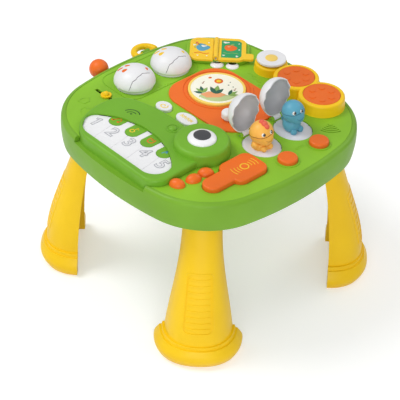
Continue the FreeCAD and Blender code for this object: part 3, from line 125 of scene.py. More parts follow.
class Shader:
    """A node tree with short calls for the nodes that the plastics share"""

    def __init__(self, name):
        self.material = bpy.data.materials.new(name)
        self.material.use_nodes = True
        self.tree = self.material.node_tree
        self.tree.nodes.clear()
        self.out = self.node("ShaderNodeOutputMaterial")
        self.bsdf = self.node("ShaderNodeBsdfPrincipled")
        self.link(self.bsdf.outputs[0], self.out.inputs[0])
        self.where = self.node("ShaderNodeTexCoord").outputs["Object"]

    def node(self, kind, **settings):
        made = self.tree.nodes.new(kind)
        for key, value in settings.items():
            setattr(made, key, value)
        return made

    def link(self, a, b):
        self.tree.links.new(a, b)

    def noise(self, scale, detail=2.0):
        made = self.node("ShaderNodeTexNoise")
        made.inputs["Scale"].default_value = scale
        made.inputs["Detail"].default_value = detail
        self.link(self.where, made.inputs["Vector"])
        return made.outputs["Fac"]

    def spread(self, value, low, high, to_low=0.0, to_high=1.0):
        made = self.node("ShaderNodeMapRange")
        ends = {"From Min": low, "From Max": high, "To Min": to_low, "To Max": to_high}
        for key, number in ends.items():
            made.inputs[key].default_value = number
        self.link(value, made.inputs["Value"])
        return made.outputs[0]

    def feed(self, sockets, values):
        """Each value is the output of another node or a plain number or colour"""
        for socket, value in zip(sockets, values):
            if hasattr(value, "links"):
                self.link(value, socket)
            else:
                socket.default_value = value

    def maths(self, kind, a, b):
        made = self.node("ShaderNodeMath", operation=kind)
        self.feed(made.inputs, (a, b))
        return made.outputs[0]

    def mix(self, share, a, b):
        made = self.node("ShaderNodeMix", data_type="RGBA")
        self.link(share, made.inputs["Factor"])
        # The colour sockets come after those for plain numbers and vectors
        self.feed(made.inputs[6:8], (a, b))
        return made.outputs[2]

    def bump(self, *layers):
        """Each layer is a height output and its depth in metres"""
        last = None
        for height, depth in layers:
            made = self.node("ShaderNodeBump")
            made.inputs["Distance"].default_value = depth
            self.link(height, made.inputs["Height"])
            if last is not None:
                self.link(last, made.inputs["Normal"])
            last = made.outputs[0]
        self.link(last, self.bsdf.inputs["Normal"])


# Scales of the noise that all plastics share, and the depths in metres of what it raises
CLOUD_SCALE = 9.0
SPECKLE_SCALE = 620.0
GLOSS_SCALE = 34.0
GRAIN_SCALE = 1500.0
WAVE_SCALE = 22.0
WAVE_DEPTH = 0.00012


def tinted(colour, share):
    return tuple(min(255.0, c * share) for c in colour)


def plastic(name, colour, rough, coat=0.0, depth=0.06, glow=0.0):
    """Moulded plastic: faint clouding, a spark-eroded grain, and gloss that varies over the part"""
    s = Shader(name)
    cloud = s.spread(s.noise(CLOUD_SCALE, 3.0), 0.3, 0.7)
    speckle = s.spread(s.noise(SPECKLE_SCALE), 0.35, 0.65)
    dull = linear(tinted(colour, 1.0 - depth))
    bright = linear(tinted(colour, 1.0 + depth * 0.6))
    base = s.mix(cloud, dull, bright)
    fine = s.mix(s.maths("MULTIPLY", speckle, 0.10), base, linear(tinted(colour, 0.9)))
    s.link(fine, s.bsdf.inputs["Base Color"])
    gloss = s.spread(s.noise(GLOSS_SCALE, 3.0), 0.3, 0.7, rough - 0.05, rough + 0.06)
    s.link(gloss, s.bsdf.inputs["Roughness"])
    s.bump((s.noise(GRAIN_SCALE), 0.00004), (s.noise(WAVE_SCALE, 1.0), WAVE_DEPTH))
    s.bsdf.inputs["Specular IOR Level"].default_value = 0.3
    s.bsdf.inputs["Coat Weight"].default_value = coat
    s.bsdf.inputs["Coat Roughness"].default_value = 0.2
    if glow:
        s.bsdf.inputs["Subsurface Weight"].default_value = glow
        s.bsdf.inputs["Subsurface Radius"].default_value = (1.0, 0.8, 0.5)
        s.bsdf.inputs["Subsurface Scale"].default_value = 0.004
    return s.material


def two_tone(name, outer, inner, centre, half):
    """Shell with one colour outside and a greyer one inside an ellipsoid, in object coordinates; the
    inner grey is partly the plastic's own grey and partly painted shade in the hollow
    """
    s = Shader(name)
    split = s.node("ShaderNodeSeparateXYZ")
    s.link(s.where, split.inputs[0])
    total = None
    for axis in range(3):
        shifted = s.maths("SUBTRACT", split.outputs[axis], centre[axis])
        scaled = s.maths("DIVIDE", shifted, half[axis])
        squared = s.maths("MULTIPLY", scaled, scaled)
        total = squared if total is None else s.maths("ADD", total, squared)
    inside = s.spread(total, 0.985, 1.0, 1.0, 0.0)
    cloud = s.spread(s.noise(40.0), 0.3, 0.7)
    pale = s.mix(cloud, linear(tinted(outer, 0.97)), linear(outer))
    dull = s.mix(cloud, linear(tinted(inner, 0.94)), linear(inner))
    s.link(s.mix(inside, pale, dull), s.bsdf.inputs["Base Color"])
    s.link(s.spread(s.noise(60.0), 0.3, 0.7, 0.34, 0.44), s.bsdf.inputs["Roughness"])
    s.bump((s.noise(GRAIN_SCALE), 0.00003), (s.noise(30.0, 1.0), 0.0001))
    return s.material


def metal(name, colour, rough, stretch):
    """Drawn or plated metal with fine scratches along one direction"""
    s = Shader(name)
    place = s.node("ShaderNodeMapping")
    place.inputs["Scale"].default_value = stretch
    s.link(s.where, place.inputs["Vector"])
    s.where = place.outputs[0]
    scratch = s.noise(1800.0, 3.0)
    base = s.mix(s.spread(scratch, 0.3, 0.7), linear(tinted(colour, 0.85)), linear(colour))
    s.link(base, s.bsdf.inputs["Base Color"])
    s.link(s.spread(scratch, 0.3, 0.7, rough, rough + 0.14), s.bsdf.inputs["Roughness"])
    s.bsdf.inputs["Metallic"].default_value = 1.0
    s.bump((scratch, 0.00001))
    return s.material


def board_finish():
    """Green solder resist over a pattern of copper tracks"""
    s = Shader("finish_board")
    grid = s.node("ShaderNodeTexBrick")
    sizes = {"Scale": 90.0, "Mortar Size": 0.05, "Brick Width": 0.7, "Row Height": 0.3}
    for key, number in sizes.items():
        grid.inputs[key].default_value = number
    greens = {"Color1": (20, 88, 46), "Color2": (16, 76, 40), "Mortar": (46, 128, 70)}
    for key, colour in greens.items():
        grid.inputs[key].default_value = linear(colour)
    s.link(s.where, grid.inputs["Vector"])
    clouded = s.mix(s.spread(s.noise(30.0), 0.3, 0.7, 0.0, 0.3), grid.outputs[0], linear((30, 100, 52)))
    s.link(clouded, s.bsdf.inputs["Base Color"])
    s.link(s.spread(s.noise(200.0), 0.3, 0.7, 0.3, 0.42), s.bsdf.inputs["Roughness"])
    s.bump((grid.outputs["Fac"], 0.00004))
    return s.material


FINISH = {
    "top_green": plastic("finish_top_green", TOP_GREEN, 0.42),
    # The skirt's darker green is painted shade
    "skirt_green": plastic("finish_skirt_green", SHADED_SKIRT_GREEN, 0.44),
    "croc_green": plastic("finish_croc_green", CROC_GREEN, 0.42),
    "yellow": plastic("finish_yellow", YELLOW, 0.40, depth=0.04),
    "orange": plastic("finish_orange", ORANGE, 0.40),
    "white": plastic("finish_white", WHITE, 0.34, depth=0.02),
    "grey": plastic("finish_grey", GREY, 0.45, depth=0.03),
    "cream": plastic("finish_cream", CREAM, 0.30, depth=0.02),
    "blue": plastic("finish_blue", BLUE, 0.40),
    "chick": plastic("finish_chick", CHICK, 0.40),
    "red": plastic("finish_red", RED, 0.42),
    "page_green": plastic("finish_page_green", PAGE_GREEN, 0.36),
    "key_white": plastic("finish_key_white", (240, 240, 242), 0.28, coat=0.2, depth=0.015),
    "eye_white": plastic("finish_eye_white", (244, 244, 246), 0.2, coat=0.4, depth=0.01),
    "pupil": plastic("finish_pupil", (72, 72, 76), 0.34, depth=0.03),
    "eye_black": plastic("finish_eye_black", (24, 22, 26), 0.16, coat=0.5, depth=0.02),
    "ring_yellow": plastic("finish_ring_yellow", (254, 220, 104), 0.34, depth=0.03),
    "soft_yellow": plastic("finish_soft_yellow", (250, 214, 110), 0.4, depth=0.04),
    # The digits' darker grey outline is painted shade on the sides of the raised digits
    "digit": plastic("finish_digit", (172, 174, 180), 0.4, depth=0.03),
    "digit_face": plastic("finish_digit_face", (228, 228, 231), 0.4, depth=0.02),
    # A darker orange for the deck's groove: painted shade in the groove
    "groove_shade_orange": plastic("finish_groove_orange", (206, 92, 34), 0.6),
    "dark_green": plastic("finish_dark_green", (40, 84, 30), 0.55),
    "crack": plastic("finish_crack", (88, 84, 92), 0.6, depth=0.1),
    "black": plastic("finish_black", (34, 34, 36), 0.5, depth=0.1),
    "silicone": plastic("finish_silicone", (168, 172, 178), 0.55, depth=0.05, glow=0.2),
    "cell": plastic("finish_cell", (60, 84, 120), 0.3, coat=0.3),
    "steel": metal("finish_steel", (196, 198, 202), 0.24, (1.0, 1.0, 0.2)),
    "spring": metal("finish_spring", (206, 204, 198), 0.3, (0.3, 1.0, 1.0)),
    "board": board_finish(),
    "leaf_dark": plastic("finish_leaf_dark", (48, 104, 84), 0.34, depth=0.1),
    "leaf_light": plastic("finish_leaf_light", (142, 184, 92), 0.34, depth=0.1),
    "hill": plastic("finish_hill", (196, 214, 150), 0.34, depth=0.06),
    "peach": plastic("finish_peach", (246, 170, 116), 0.34, depth=0.06),
    "page_yellow": plastic("finish_page_yellow", (252, 206, 50), 0.32, depth=0.03),
    "print_white": plastic("finish_print_white", (246, 246, 240), 0.34, depth=0.03),
    # Darker copies of the figures' colours, for the mouths and for the head creases, where they are
    # painted shade; the brown one also draws the disc's notes
    "figure_line": plastic("finish_figure_line", (150, 84, 40), 0.5),
    "figure_line_blue": plastic("finish_figure_line_blue", (44, 96, 124), 0.5),
}

for side, y in zip(("chick", "dino"), SHELL_YS):
    # The lid stands open, so its inner ellipsoid has the long axis upright
    middle = ((SHELL_X + SHIFT) * MM, y * MM, SHELL_Z * MM)
    half = tuple(extent * MM for extent in SHELL_HALF)
    # The lid's inner grey is partly grey plastic and partly painted shade in its hollow
    FINISH[side + "_lid"] = two_tone("finish_" + side + "_lid", WHITE, (196, 196, 200), middle, half)

NODE_FINISH = {
    # The skirt, base cover and battery door take the darker green of painted shade
    "skirt": "skirt_green",
    "top_panel": "top_green",
    "base_cover": "skirt_green",
    "battery_door": "skirt_green",
    "battery_cells": "cell",
    "battery_contacts": "spring",
    "base_screws": "steel",
    "circuit_board": "board",
    "rubber_domes": "silicone",
    "speaker_driver": "black",
    "piano_body": "croc_green",
    "key_rod": "steel",
    "eye_white": "eye_white",
    "eye_pupil": "pupil",
    "pop_button_left": "orange",
    "pop_button_right": "orange",
    "egg_button_round": "white",
    "egg_button_oval": "white",
    "egg_dome_left": "white",
    "egg_dome_right": "white",
    "slider_knob": "yellow",
    "hammer_lever": "orange",
    "crest_beads": "orange",
    "turntable_deck": "orange",
    "picture_disc": "cream",
    "disc_ring": "ring_yellow",
    "tone_arm": "white",
    "tone_arm_tip": "soft_yellow",
    "chick_lid": "chick_lid",
    "dino_lid": "dino_lid",
    "chick_platform": "grey",
    "dino_platform": "grey",
    "chick_figure": "chick",
    "chick_comb": "red",
    "dino_figure": "blue",
    "drum_frame": "yellow",
    "drum_pad_left": "orange",
    "drum_pad_right": "orange",
    "fried_egg_pad": "white",
    "egg_yolk": "soft_yellow",
    "book_pad": "top_green",
    "book_cover": "page_yellow",
    "book_leaf": "page_yellow",
    "face_eyes": "eye_white",
    "ball_lever": "orange",
    "pull_ring": "yellow",
    "hinge_pins": "steel",
}
for corner in ("front_right", "back_right", "back_left", "front_left"):
    NODE_FINISH["leg_" + corner] = "yellow"
for number in range(1, 6):
    NODE_FINISH[f"white_key_{number}"] = "key_white"
for number in range(1, 5):
    NODE_FINISH[f"note_key_{number}"] = "croc_green"

for node, finish in NODE_FINISH.items():
    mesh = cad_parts[node].data
    mesh.materials.clear()
    mesh.materials.append(FINISH[finish])


def point(x, y, z):
    return Vector(((x + SHIFT) * MM, y * MM, z * MM))


TREES = {}


def surface(node):
    """Search tree over a node's faces, made once"""
    if node not in TREES:
        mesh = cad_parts[node].data
        points = [v.co.copy() for v in mesh.vertices]
        TREES[node] = BVHTree.FromPolygons(points, [tuple(p.vertices) for p in mesh.polygons])
    return TREES[node]


def add(name, verts, faces, finish, body):
    mesh = bpy.data.meshes.new(name)
    mesh.from_pydata(verts, [], faces)
    mesh.update()
    for polygon in mesh.polygons:
        polygon.use_smooth = True
    mesh.materials.append(FINISH[finish])
    piece = bpy.data.objects.new(name, mesh)
    bpy.context.scene.collection.objects.link(piece)
    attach(piece, body)
    return piece


def settle(piece):
    """Applies a piece's modifiers and keeps the result as its mesh"""
    graph = bpy.context.evaluated_depsgraph_get()
    mesh = bpy.data.meshes.new_from_object(piece.evaluated_get(graph))
    piece.modifiers.clear()
    piece.data = mesh


def inside(p, loops):
    """Whether a point is inside the loops, where a loop inside another is a hole"""
    crossings = 0
    for loop in loops:
        for a, b in zip(loop, list(loop[1:]) + [loop[0]]):
            if (a[1] > p[1]) != (b[1] > p[1]):
                edge_x = a[0] + (b[0] - a[0]) * (p[1] - a[1]) / (b[1] - a[1])
                crossings += p[0] < edge_x
    return crossings % 2 == 1


def filled(loops, step):
    """Triangles inside the loops, with even points between so that they follow a curved surface"""
    points = []
    edges = []
    for loop in loops:
        first = len(points)
        points += [Vector(p[:2]) for p in loop]
        edges += [(first + i, first + (i + 1) % len(loop)) for i in range(len(loop))]
    low = [min(p[k] for p in points) for k in (0, 1)]
    high = [max(p[k] for p in points) for k in (0, 1)]
    row = 0
    y = low[1] + step / 2
    while y < high[1]:
        x = low[0] + step * (0.25 if row % 2 else 0.75)
        while x < high[0]:
            points.append(Vector((x, y)))
            x += step
        y += step * 0.87
        row += 1
    verts, _, faces, _, _, _ = delaunay_2d_cdt(points, edges, [], 0, 1e-5)

    def centre(face):
        return sum((verts[i] for i in face), Vector((0.0, 0.0))) / 3

    return verts, [face for face in faces if inside(centre(face), loops)]


def drape(name, loops, node, body, finish, lift=PRINT_LIFT, depth=PRINT_DEPTH, step=STEP, rays=None):
    """A thin solid with this outline that follows a node's surface. rays turns a point of the
    outline into a start and a direction in the frame; without it the outline is seen from above"""
    flat, faces = filled(loops, step)
    tree = surface(node)
    verts = []
    met = []
    for p in flat:
        start, way = rays(p[0], p[1]) if rays else (point(p[0], p[1], ABOVE_ALL), DOWN)
        hit, normal, _, _ = tree.ray_cast(start, way)
        met.append(hit is not None)
        verts.append(start if hit is None else hit + normal * lift * MM)
    faces = [f for f in faces if all(met[i] for i in f)]
    piece = add(name, verts, faces, finish, body)
    outward = verts[0] - point(0.0, 0.0, 0.0)
    solid = piece.modifiers.new("solid", "SOLIDIFY")
    solid.thickness = depth * MM
    solid.offset = -1.0 if piece.data.polygons[0].normal.dot(outward) > 0 else 1.0
    settle(piece)
    loose = bmesh.new()
    loose.from_mesh(piece.data)
    bmesh.ops.delete(loose, geom=[v for v in loose.verts if not v.link_faces], context="VERTS")
    bmesh.ops.recalc_face_normals(loose, faces=loose.faces)
    loose.to_mesh(piece.data)
    loose.free()


def turned_to(x, y, lean, pairs):
    """Moves flat offsets to a place, turned by an angle"""
    c, s = math.cos(lean), math.sin(lean)
    return [(x + u * c - v * s, y + u * s + v * c) for u, v in pairs]


def circle(x, y, radius, second=None, count=36, turn=0.0):
    """Closed loop, a circle or an ellipse turned by some degrees"""
    second = radius if second is None else second
    steps = [2 * math.pi * i / count for i in range(count)]
    pairs = [(radius * math.cos(a), second * math.sin(a)) for a in steps]
    return turned_to(x, y, math.radians(turn), pairs)


def curve_through(points, per):
    """Smooth line through a few points"""
    points = [Vector(p) for p in points]
    count = len(points)
    out = []
    for i in range(count - 1):
        a, b, c, d = (points[max(0, min(count - 1, k))] for k in (i - 1, i, i + 1, i + 2))
        for j in range(per):
            t = j / per
            bend = (2 * a - 5 * b + 4 * c - d) * t * t
            twist = (3 * b - a - 3 * c + d) * t ** 3
            out.append(0.5 * (2 * b + (c - a) * t + bend + twist))
    return out + points[-1:]


def stroke(points, width, taper=False):
    """Outline of a line of that width with round ends"""
    points = [Vector(p[:2]) for p in points]
    left = []
    right = []
    last = len(points) - 1
    for i, p in enumerate(points):
        along = (points[min(last, i + 1)] - points[max(0, i - 1)]).normalized()
        side = Vector((-along[1], along[0]))
        share = 1.0 if not taper else 0.35 + 0.65 * math.sin(math.pi * i / last)
        left.append(p + side * width / 2 * share)
        right.append(p - side * width / 2 * share)
    tip = (points[-1] - points[-2]).normalized() * width * 0.4
    tail = (points[0] - points[1]).normalized() * width * 0.4
    return [tuple(p) for p in [points[0] + tail] + left + [points[-1] + tip] + right[::-1]]


def arc(x, y, radius, start, end, count=14):
    """Part of a circle between two angles in degrees"""
    steps = [math.radians(start + (end - start) * i / count) for i in range(count + 1)]
    return [(x + radius * math.cos(a), y + radius * math.sin(a)) for a in steps]


def ring_print(name, x, y, radius, width, *rest, **more):
    loops = [circle(x, y, radius + width / 2), circle(x, y, radius - width / 2)]
    drape(name, loops, *rest, **more)


def blob(x, y, size, wobble, phase=0.0, stretch=1.0, turn=0.0):
    """Rounded uneven patch"""
    pairs = []
    for i in range(BLOB_POINTS):
        a = 2 * math.pi * i / BLOB_POINTS
        r = size * (1 + wobble * math.sin(3 * a + phase) + wobble * 0.5 * math.sin(2 * a + 2 * phase))
        pairs.append((r * math.cos(a) * stretch, r * math.sin(a)))
    return turned_to(x, y, math.radians(turn), pairs)


def leaf(x, y, length, width, turn):
    """Pointed leaf from its stalk end"""
    shares = [i / LEAF_STEPS for i in range(LEAF_STEPS + 1)]
    upper = [(length * t, width / 2 * math.sin(math.pi * t ** 0.8)) for t in shares]
    return turned_to(x, y, math.radians(turn), upper + [(u, -v) for u, v in upper[-2:0:-1]])


def number_part(name, text, x, y, key, finish, fill, half=0.0, tube=0.0):
    data = bpy.data.curves.new(name, "FONT")
    data.body = text
    data.size = FONT_SIZE * MM
    data.offset = FONT_WIDEN * MM
    data.align_x = "CENTER"
    data.align_y = "CENTER"
    data.extrude = half * MM
    data.bevel_depth = tube * MM
    data.bevel_resolution = 3
    data.fill_mode = fill
    data.materials.append(FINISH[finish])
    piece = bpy.data.objects.new(name, data)
    bpy.context.scene.collection.objects.link(piece)
    piece.matrix_world = Matrix.Translation(point(x, y, WHITE_TOP))
    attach(piece, key)


def digit_one(x, y, key):
    """The 1 with its flag, which the plain typeface draws as a bar"""
    outer = [(-2.2, -9.4), (2.6, -9.4), (2.6, 9.4), (-0.8, 9.4), (-6.4, 6.4), (-4.8, 3.0), (-2.2, 4.8)]
    inner = [(-1.4, -8.6), (1.8, -8.6), (1.8, 8.6), (-0.6, 8.6), (-5.2, 6.1), (-4.5, 4.2), (-1.4, 6.3)]
    loops = [[Vector((x + across, y + up)) for across, up in loop] for loop in (outer, inner)]
    # The edge's darker grey is painted shade on the sides of the raised 1
    drape("digit_1_edge", loops, key, key, "digit", 0.2, 0.5)
    drape("digit_1_face", loops[1:], key, key, "digit_face", 0.15, 0.4)


def digits():
    """Raised digits, each a pale face with a rounded outline round it; the outline's darker grey is
    painted shade on the digit's sides
    """
    digit_one(*DIGIT_PLACES[0], "white_key_1")
    for number, (x, y) in enumerate(DIGIT_PLACES[1:], start=2):
        place = (str(number), x, y, f"white_key_{number}")
        number_part(f"digit_{number}_face", *place, "digit_face", "BOTH", half=DIGIT_FACE_HALF)
        number_part(f"digit_{number}_edge", *place, "digit", "NONE", tube=DIGIT_TUBE)


digits()


def note_signs():
    """Simple music signs on the four upper keys"""

    def sign(number, part, loop, finish):
        key = f"note_key_{number}"
        drape(f"note_sign_{number}_{part}", [loop], key, key, finish)

    x, y = -61.4, -110.5
    sign(1, "bar", stroke([(x - 4.8, y - 3.5), (x + 0.4, y + 5.4), (x + 4.6, y + 3.4)], 1.5), "orange")
    sign(1, "heads", circle(x - 5.2, y - 4.2, 2.2, 1.6, 20, 25.0), "orange")
    sign(1, "head", circle(x + 3.9, y - 2.6, 2.2, 1.6, 20, 25.0), "orange")
    sign(1, "stem", stroke([(x + 5.2, y - 2.2), (x + 4.8, y + 3.6)], 1.1), "orange")
    x, y = -28.5, -108.5
    ring_print("note_sign_2_ring", x - 1.5, y - 3.2, 3.2, 1.5, "note_key_2", "note_key_2", "page_yellow")
    sign(2, "stem", stroke([(x - 1.2, y + 0.4), (x + 0.6, y + 7.0)], 1.3), "page_yellow")
    sign(2, "flag", stroke([(x + 0.6, y + 6.8), (x + 3.6, y + 3.6)], 1.5, True), "page_yellow")
    x, y = 3.5, -107.5
    bend = [(x - 4.0, y + 4.8), (x - 4.2, y - 2.4), (x, y - 5.0), (x + 4.2, y - 2.4), (x + 4.0, y + 4.8)]
    sign(3, "arch", stroke(curve_through(bend, 5), 1.6), "orange")
    sign(3, "dot", circle(x, y + 2.8, 1.7, count=18), "orange")
    x, y = 35.0, -110.5
    sign(4, "stem", stroke([(x - 2.0, y - 4.6), (x + 0.2, y + 4.8)], 1.4), "blue")
    sign(4, "flag", leaf(x + 0.4, y + 4.4, 6.4, 3.2, -70.0), "blue")


note_signs()


def croc_marks():
    """Two arcs and a dot on the crocodile's cheek"""
    x, y = CHEEK_XY
    where = ("piano_body", "table", "dark_green")
    for number, (radius, width, *ends) in enumerate(((12.6, 1.5, 52.0, 172.0), (7.6, 1.4, 68.0, 178.0))):
        drape(f"cheek_arc_{number}", [stroke(arc(x, y, radius, *ends), width)], *where, step=PANEL_STEP)
    drape("cheek_dot", [blob(x - 1.4, y + 2.4, 1.5, 0.1)], *where, step=PANEL_STEP)


croc_marks()


def crown_rays(centre, reach):
    """The outline is in degrees away from straight up, so (0, 0) is the crown and (90, 0) the
    side towards +X. Gives rays from outside in to the middle"""
    middle = point(*centre)

    def rays(u, v):
        fall = math.radians(math.hypot(u, v))
        turn = math.atan2(v, u)
        way = Vector((math.sin(fall) * math.cos(turn), math.sin(fall) * math.sin(turn), math.cos(fall)))
        return middle + way * reach, -way

    return rays


def seen(turn, up):
    """Degrees round from +X and up from level, as a place for crown_rays"""
    a = math.radians(turn)
    return ((90.0 - up) * math.cos(a), (90.0 - up) * math.sin(a))


# Degrees round and up: the crack climbs from the near foot over to the right of the crown
CRACK = (
    (-60, -4), (-55, 6), (-52, 14), (-50, 22), (-47, 29), (-36, 35),
    (-29, 42), (-12, 47), (2, 51), (20, 45), (37, 36),
)
# Degrees round and up, size in degrees, wobble, its phase, stretch and turn
PATCHES = (
    (-163, 58, 6.4, 0.14, 0.3, 1.5, 20.0),
    (-143, 36, 6.2, 0.12, 1.2, 1.7, 40.0),
    (-114, 52, 7.0, 0.12, 2.0, 1.4, 70.0),
    (58, 47, 5.5, 0.14, 0.8, 1.3, -30.0),
)


def egg_marks():
    """A crack and some patches on each egg"""
    for side, colour, place in zip(("left", "right"), ("orange", "page_yellow"), EGG_XY):
        node = "egg_dome_" + side
        rays = crown_rays((*place, EGG_MIDDLE_Z), EGG_REACH)
        line = stroke([seen(*p) for p in CRACK], 1.7)
        thin = (SHELL_LIFT, SHELL_DEPTH)
        drape(f"{node}_crack", [line], node, node, "crack", *thin, PANEL_STEP, rays)
        for number, (turn, up, *form) in enumerate(PATCHES):
            patch = blob(*seen(turn, up), *form)
            drape(f"{node}_patch_{number}", [patch], node, node, colour, *thin, PAGE_STEP, rays)


egg_marks()


def chip_signs():
    """A swirl on the round chip and four plain waves on the oval one"""
    node = "egg_button_round"
    swirl = []
    for i in range(18):
        across, up = 1.6 + 0.30 * i, 1.4 + 0.24 * i
        swirl.append((-51.0 + across * math.cos(0.42 * i), -37.4 + up * math.sin(0.42 * i)))
    drape("round_chip_swirl", [stroke(swirl, 1.7)], node, node, "ring_yellow")
    node = "egg_button_oval"
    for number in range(4):
        x = -16.8 + number * 5.8
        wave = curve_through([(x - 2.2, -36.6), (x - 1.0, -31.0), (x + 1.0, -36.0), (x + 2.4, -31.6)], 5)
        drape(f"oval_chip_mark_{number}", [stroke(wave, 1.25)], node, node, "ring_yellow")


chip_signs()


def hammer_sign():
    """A ring with three arcs on each side"""
    x, y = HAMMER_XY
    where = ("hammer_lever", "hammer", "page_yellow")
    ring_print("hammer_ring", x, y, 5.6, 1.7, *where)
    for side in (-1, 1):
        for number in range(3):
            spread = 26.0 - 2.0 * number
            line = arc(x, y, 10.0 + 4.7 * number, 90 * side - spread, 90 * side + spread, 10)
            drape(f"hammer_arc_{side + 1}_{number}", [stroke(line, 0.95)], *where)


hammer_sign()


def panel_marks():
    """Faint raised signs on the top"""

    def mark(name, line, width):
        where = ("top_panel", "table", "top_green")
        drape("panel_mark_" + name, [stroke(line, width)], *where, MARK_LIFT, MARK_DEPTH, PANEL_STEP)

    house = [(-140.2, -108.0), (-138.6, -117.0), (-128.6, -113.5), (-128.2, -104.6), (-135.0, -99.7)]
    mark("house", house + house[:1], 0.8)
    wing = [(-115.5, -130.0), (-120.6, -127.0), (-121.0, -119.4), (-111.8, -115.0), (-109.4, -119.6)]
    mark("wing", wing, 0.8)
    for number in range(3):
        x, y = 134.0, 34.6 + 5.2 * number
        square = [(x - 1.7, y - 1.7), (x + 1.7, y - 1.7), (x + 1.7, y + 1.7), (x - 1.7, y + 1.7)]
        mark(f"step_{number}", square + square[:1], 0.6)
    for number in range(4):
        x, y = -91.5, -8.0 + 5.6 * number
        mark(f"tick_{number}", [(x - 2.2, y - 1.2), (x + 2.0, y + 1.4)], 0.9)
    for number in range(3):
        x, y = -32.0 + 15.0 * number, 112.0 - 4.6 * number
        wave = [(x - 6.5, y - 1.5), (x - 2.4, y + 1.8), (x + 2.0, y - 1.6), (x + 6.5, y + 1.6)]
        mark(f"wave_{number}", curve_through(wave, 5), 0.9)


panel_marks()


# Each leaf of the disc's garden: its stalk end, length, width, turn and finish
GARDEN = (
    (-20.0, -10.0, 17.0, 6.0, 98.0, "leaf_dark"),
    (-20.0, -10.0, 15.0, 5.4, 128.0, "leaf_light"),
    (-20.0, -10.0, 15.0, 5.6, 62.0, "leaf_light"),
    (-21.0, -11.0, 13.0, 5.0, 158.0, "leaf_dark"),
    (-3.0, -13.0, 21.0, 8.6, 76.0, "leaf_light"),
    (-3.0, -13.0, 19.0, 7.4, 108.0, "leaf_dark"),
    (-3.0, -13.0, 17.0, 7.0, 44.0, "leaf_dark"),
    (15.0, -17.0, 16.0, 5.6, 34.0, "leaf_light"),
    (15.0, -17.0, 15.0, 5.2, 66.0, "leaf_dark"),
    (15.0, -17.0, 14.0, 5.0, 2.0, "leaf_light"),
)


def disc_picture():
    """A round card with a plain garden: a hill, a mound, leaves, a sun and a few notes"""
    x, y = DISC_XY

    def spot(u, v):
        # u runs to the right and v up the card as it is seen from the front right corner
        return (x + 0.62 * u - 0.78 * v, y + 0.78 * u + 0.62 * v)

    def show(name, loop, finish, layer=0.0):
        loops = [[spot(*p) for p in loop]]
        lift = PRINT_LIFT + LAYER * layer
        drape("disc_" + name, loops, "picture_disc", "disc", finish, lift, PRINT_DEPTH, DISC_STEP)

    ridge = [(-25.0 + i * 5.0, -14.0 + 3.2 * math.sin(0.55 * i) - 0.06 * (i - 5) ** 2) for i in range(11)]
    turns = [math.radians(a) for a in range(-40, -141, -10)]
    bottom = [(CARD_RADIUS * math.cos(a), CARD_RADIUS * math.sin(a)) for a in turns]
    show("hill", [(-27.0, -20.0)] + ridge + [(27.0, -20.0)] + bottom, "hill")
    mound = [(-24.0, -13.0), (-12.0, -7.0), (2.0, -9.0), (12.0, -16.0), (2.0, -22.0), (-16.0, -22.0)]
    show("mound", mound, "peach", 1)
    for number, (*form, finish) in enumerate(GARDEN):
        show(f"leaf_{number}", leaf(*form), finish, 2 + number * 0.3)
    show("sun", circle(4.0, 18.5, 6.2), "orange", 2)
    show("sun_middle", circle(4.0, 18.5, 3.6), "page_yellow", 3)
    dots = (
        (-7.5, 27.5, 2.6, "orange"),
        (17.0, 8.0, 1.2, "leaf_dark"),
        (23.0, 3.0, 1.0, "leaf_dark"),
        (20.0, 15.0, 1.0, "leaf_dark"),
    )
    for number, (u, v, size, finish) in enumerate(dots):
        show(f"dot_{number}", circle(u, v, size, size * 0.8, 20), finish, 2)
    for number, (u, v) in enumerate(((-19.0, 14.0), (24.0, -5.0))):
        show(f"note_{number}", circle(u, v, 1.3, 1.0, 16), "figure_line", 2)
        stem = stroke([(u + 1.1, v), (u + 1.5, v + 4.4), (u + 3.2, v + 3.4)], 0.7)
        show(f"note_stem_{number}", stem, "figure_line", 3)


disc_picture()


def book_rays(along, out):
    """From above onto a place in the book's own directions"""
    place = BOOK_ALONG * along + BOOK_OUT * out
    return point(place.x, place.y, ABOVE_BOOK), DOWN


def rounded(low, high, radius, corners):
    """Rectangle from its lower right corner round, where corners says which of the four are round"""
    (a, b), (c, d) = low, high
    turns = (
        (c - radius, b + radius, -90, 1, -1),
        (c - radius, d - radius, 0, 1, 1),
        (a + radius, d - radius, 90, -1, 1),
        (a + radius, b + radius, 180, -1, -1),
    )
    out = []
    for (x, y, start, right, up), is_round in zip(turns, corners):
        if is_round:
            out += arc(x, y, radius, start, start + 90, 6)
        else:
            out.append((x + radius * right, y + radius * up))
    return out


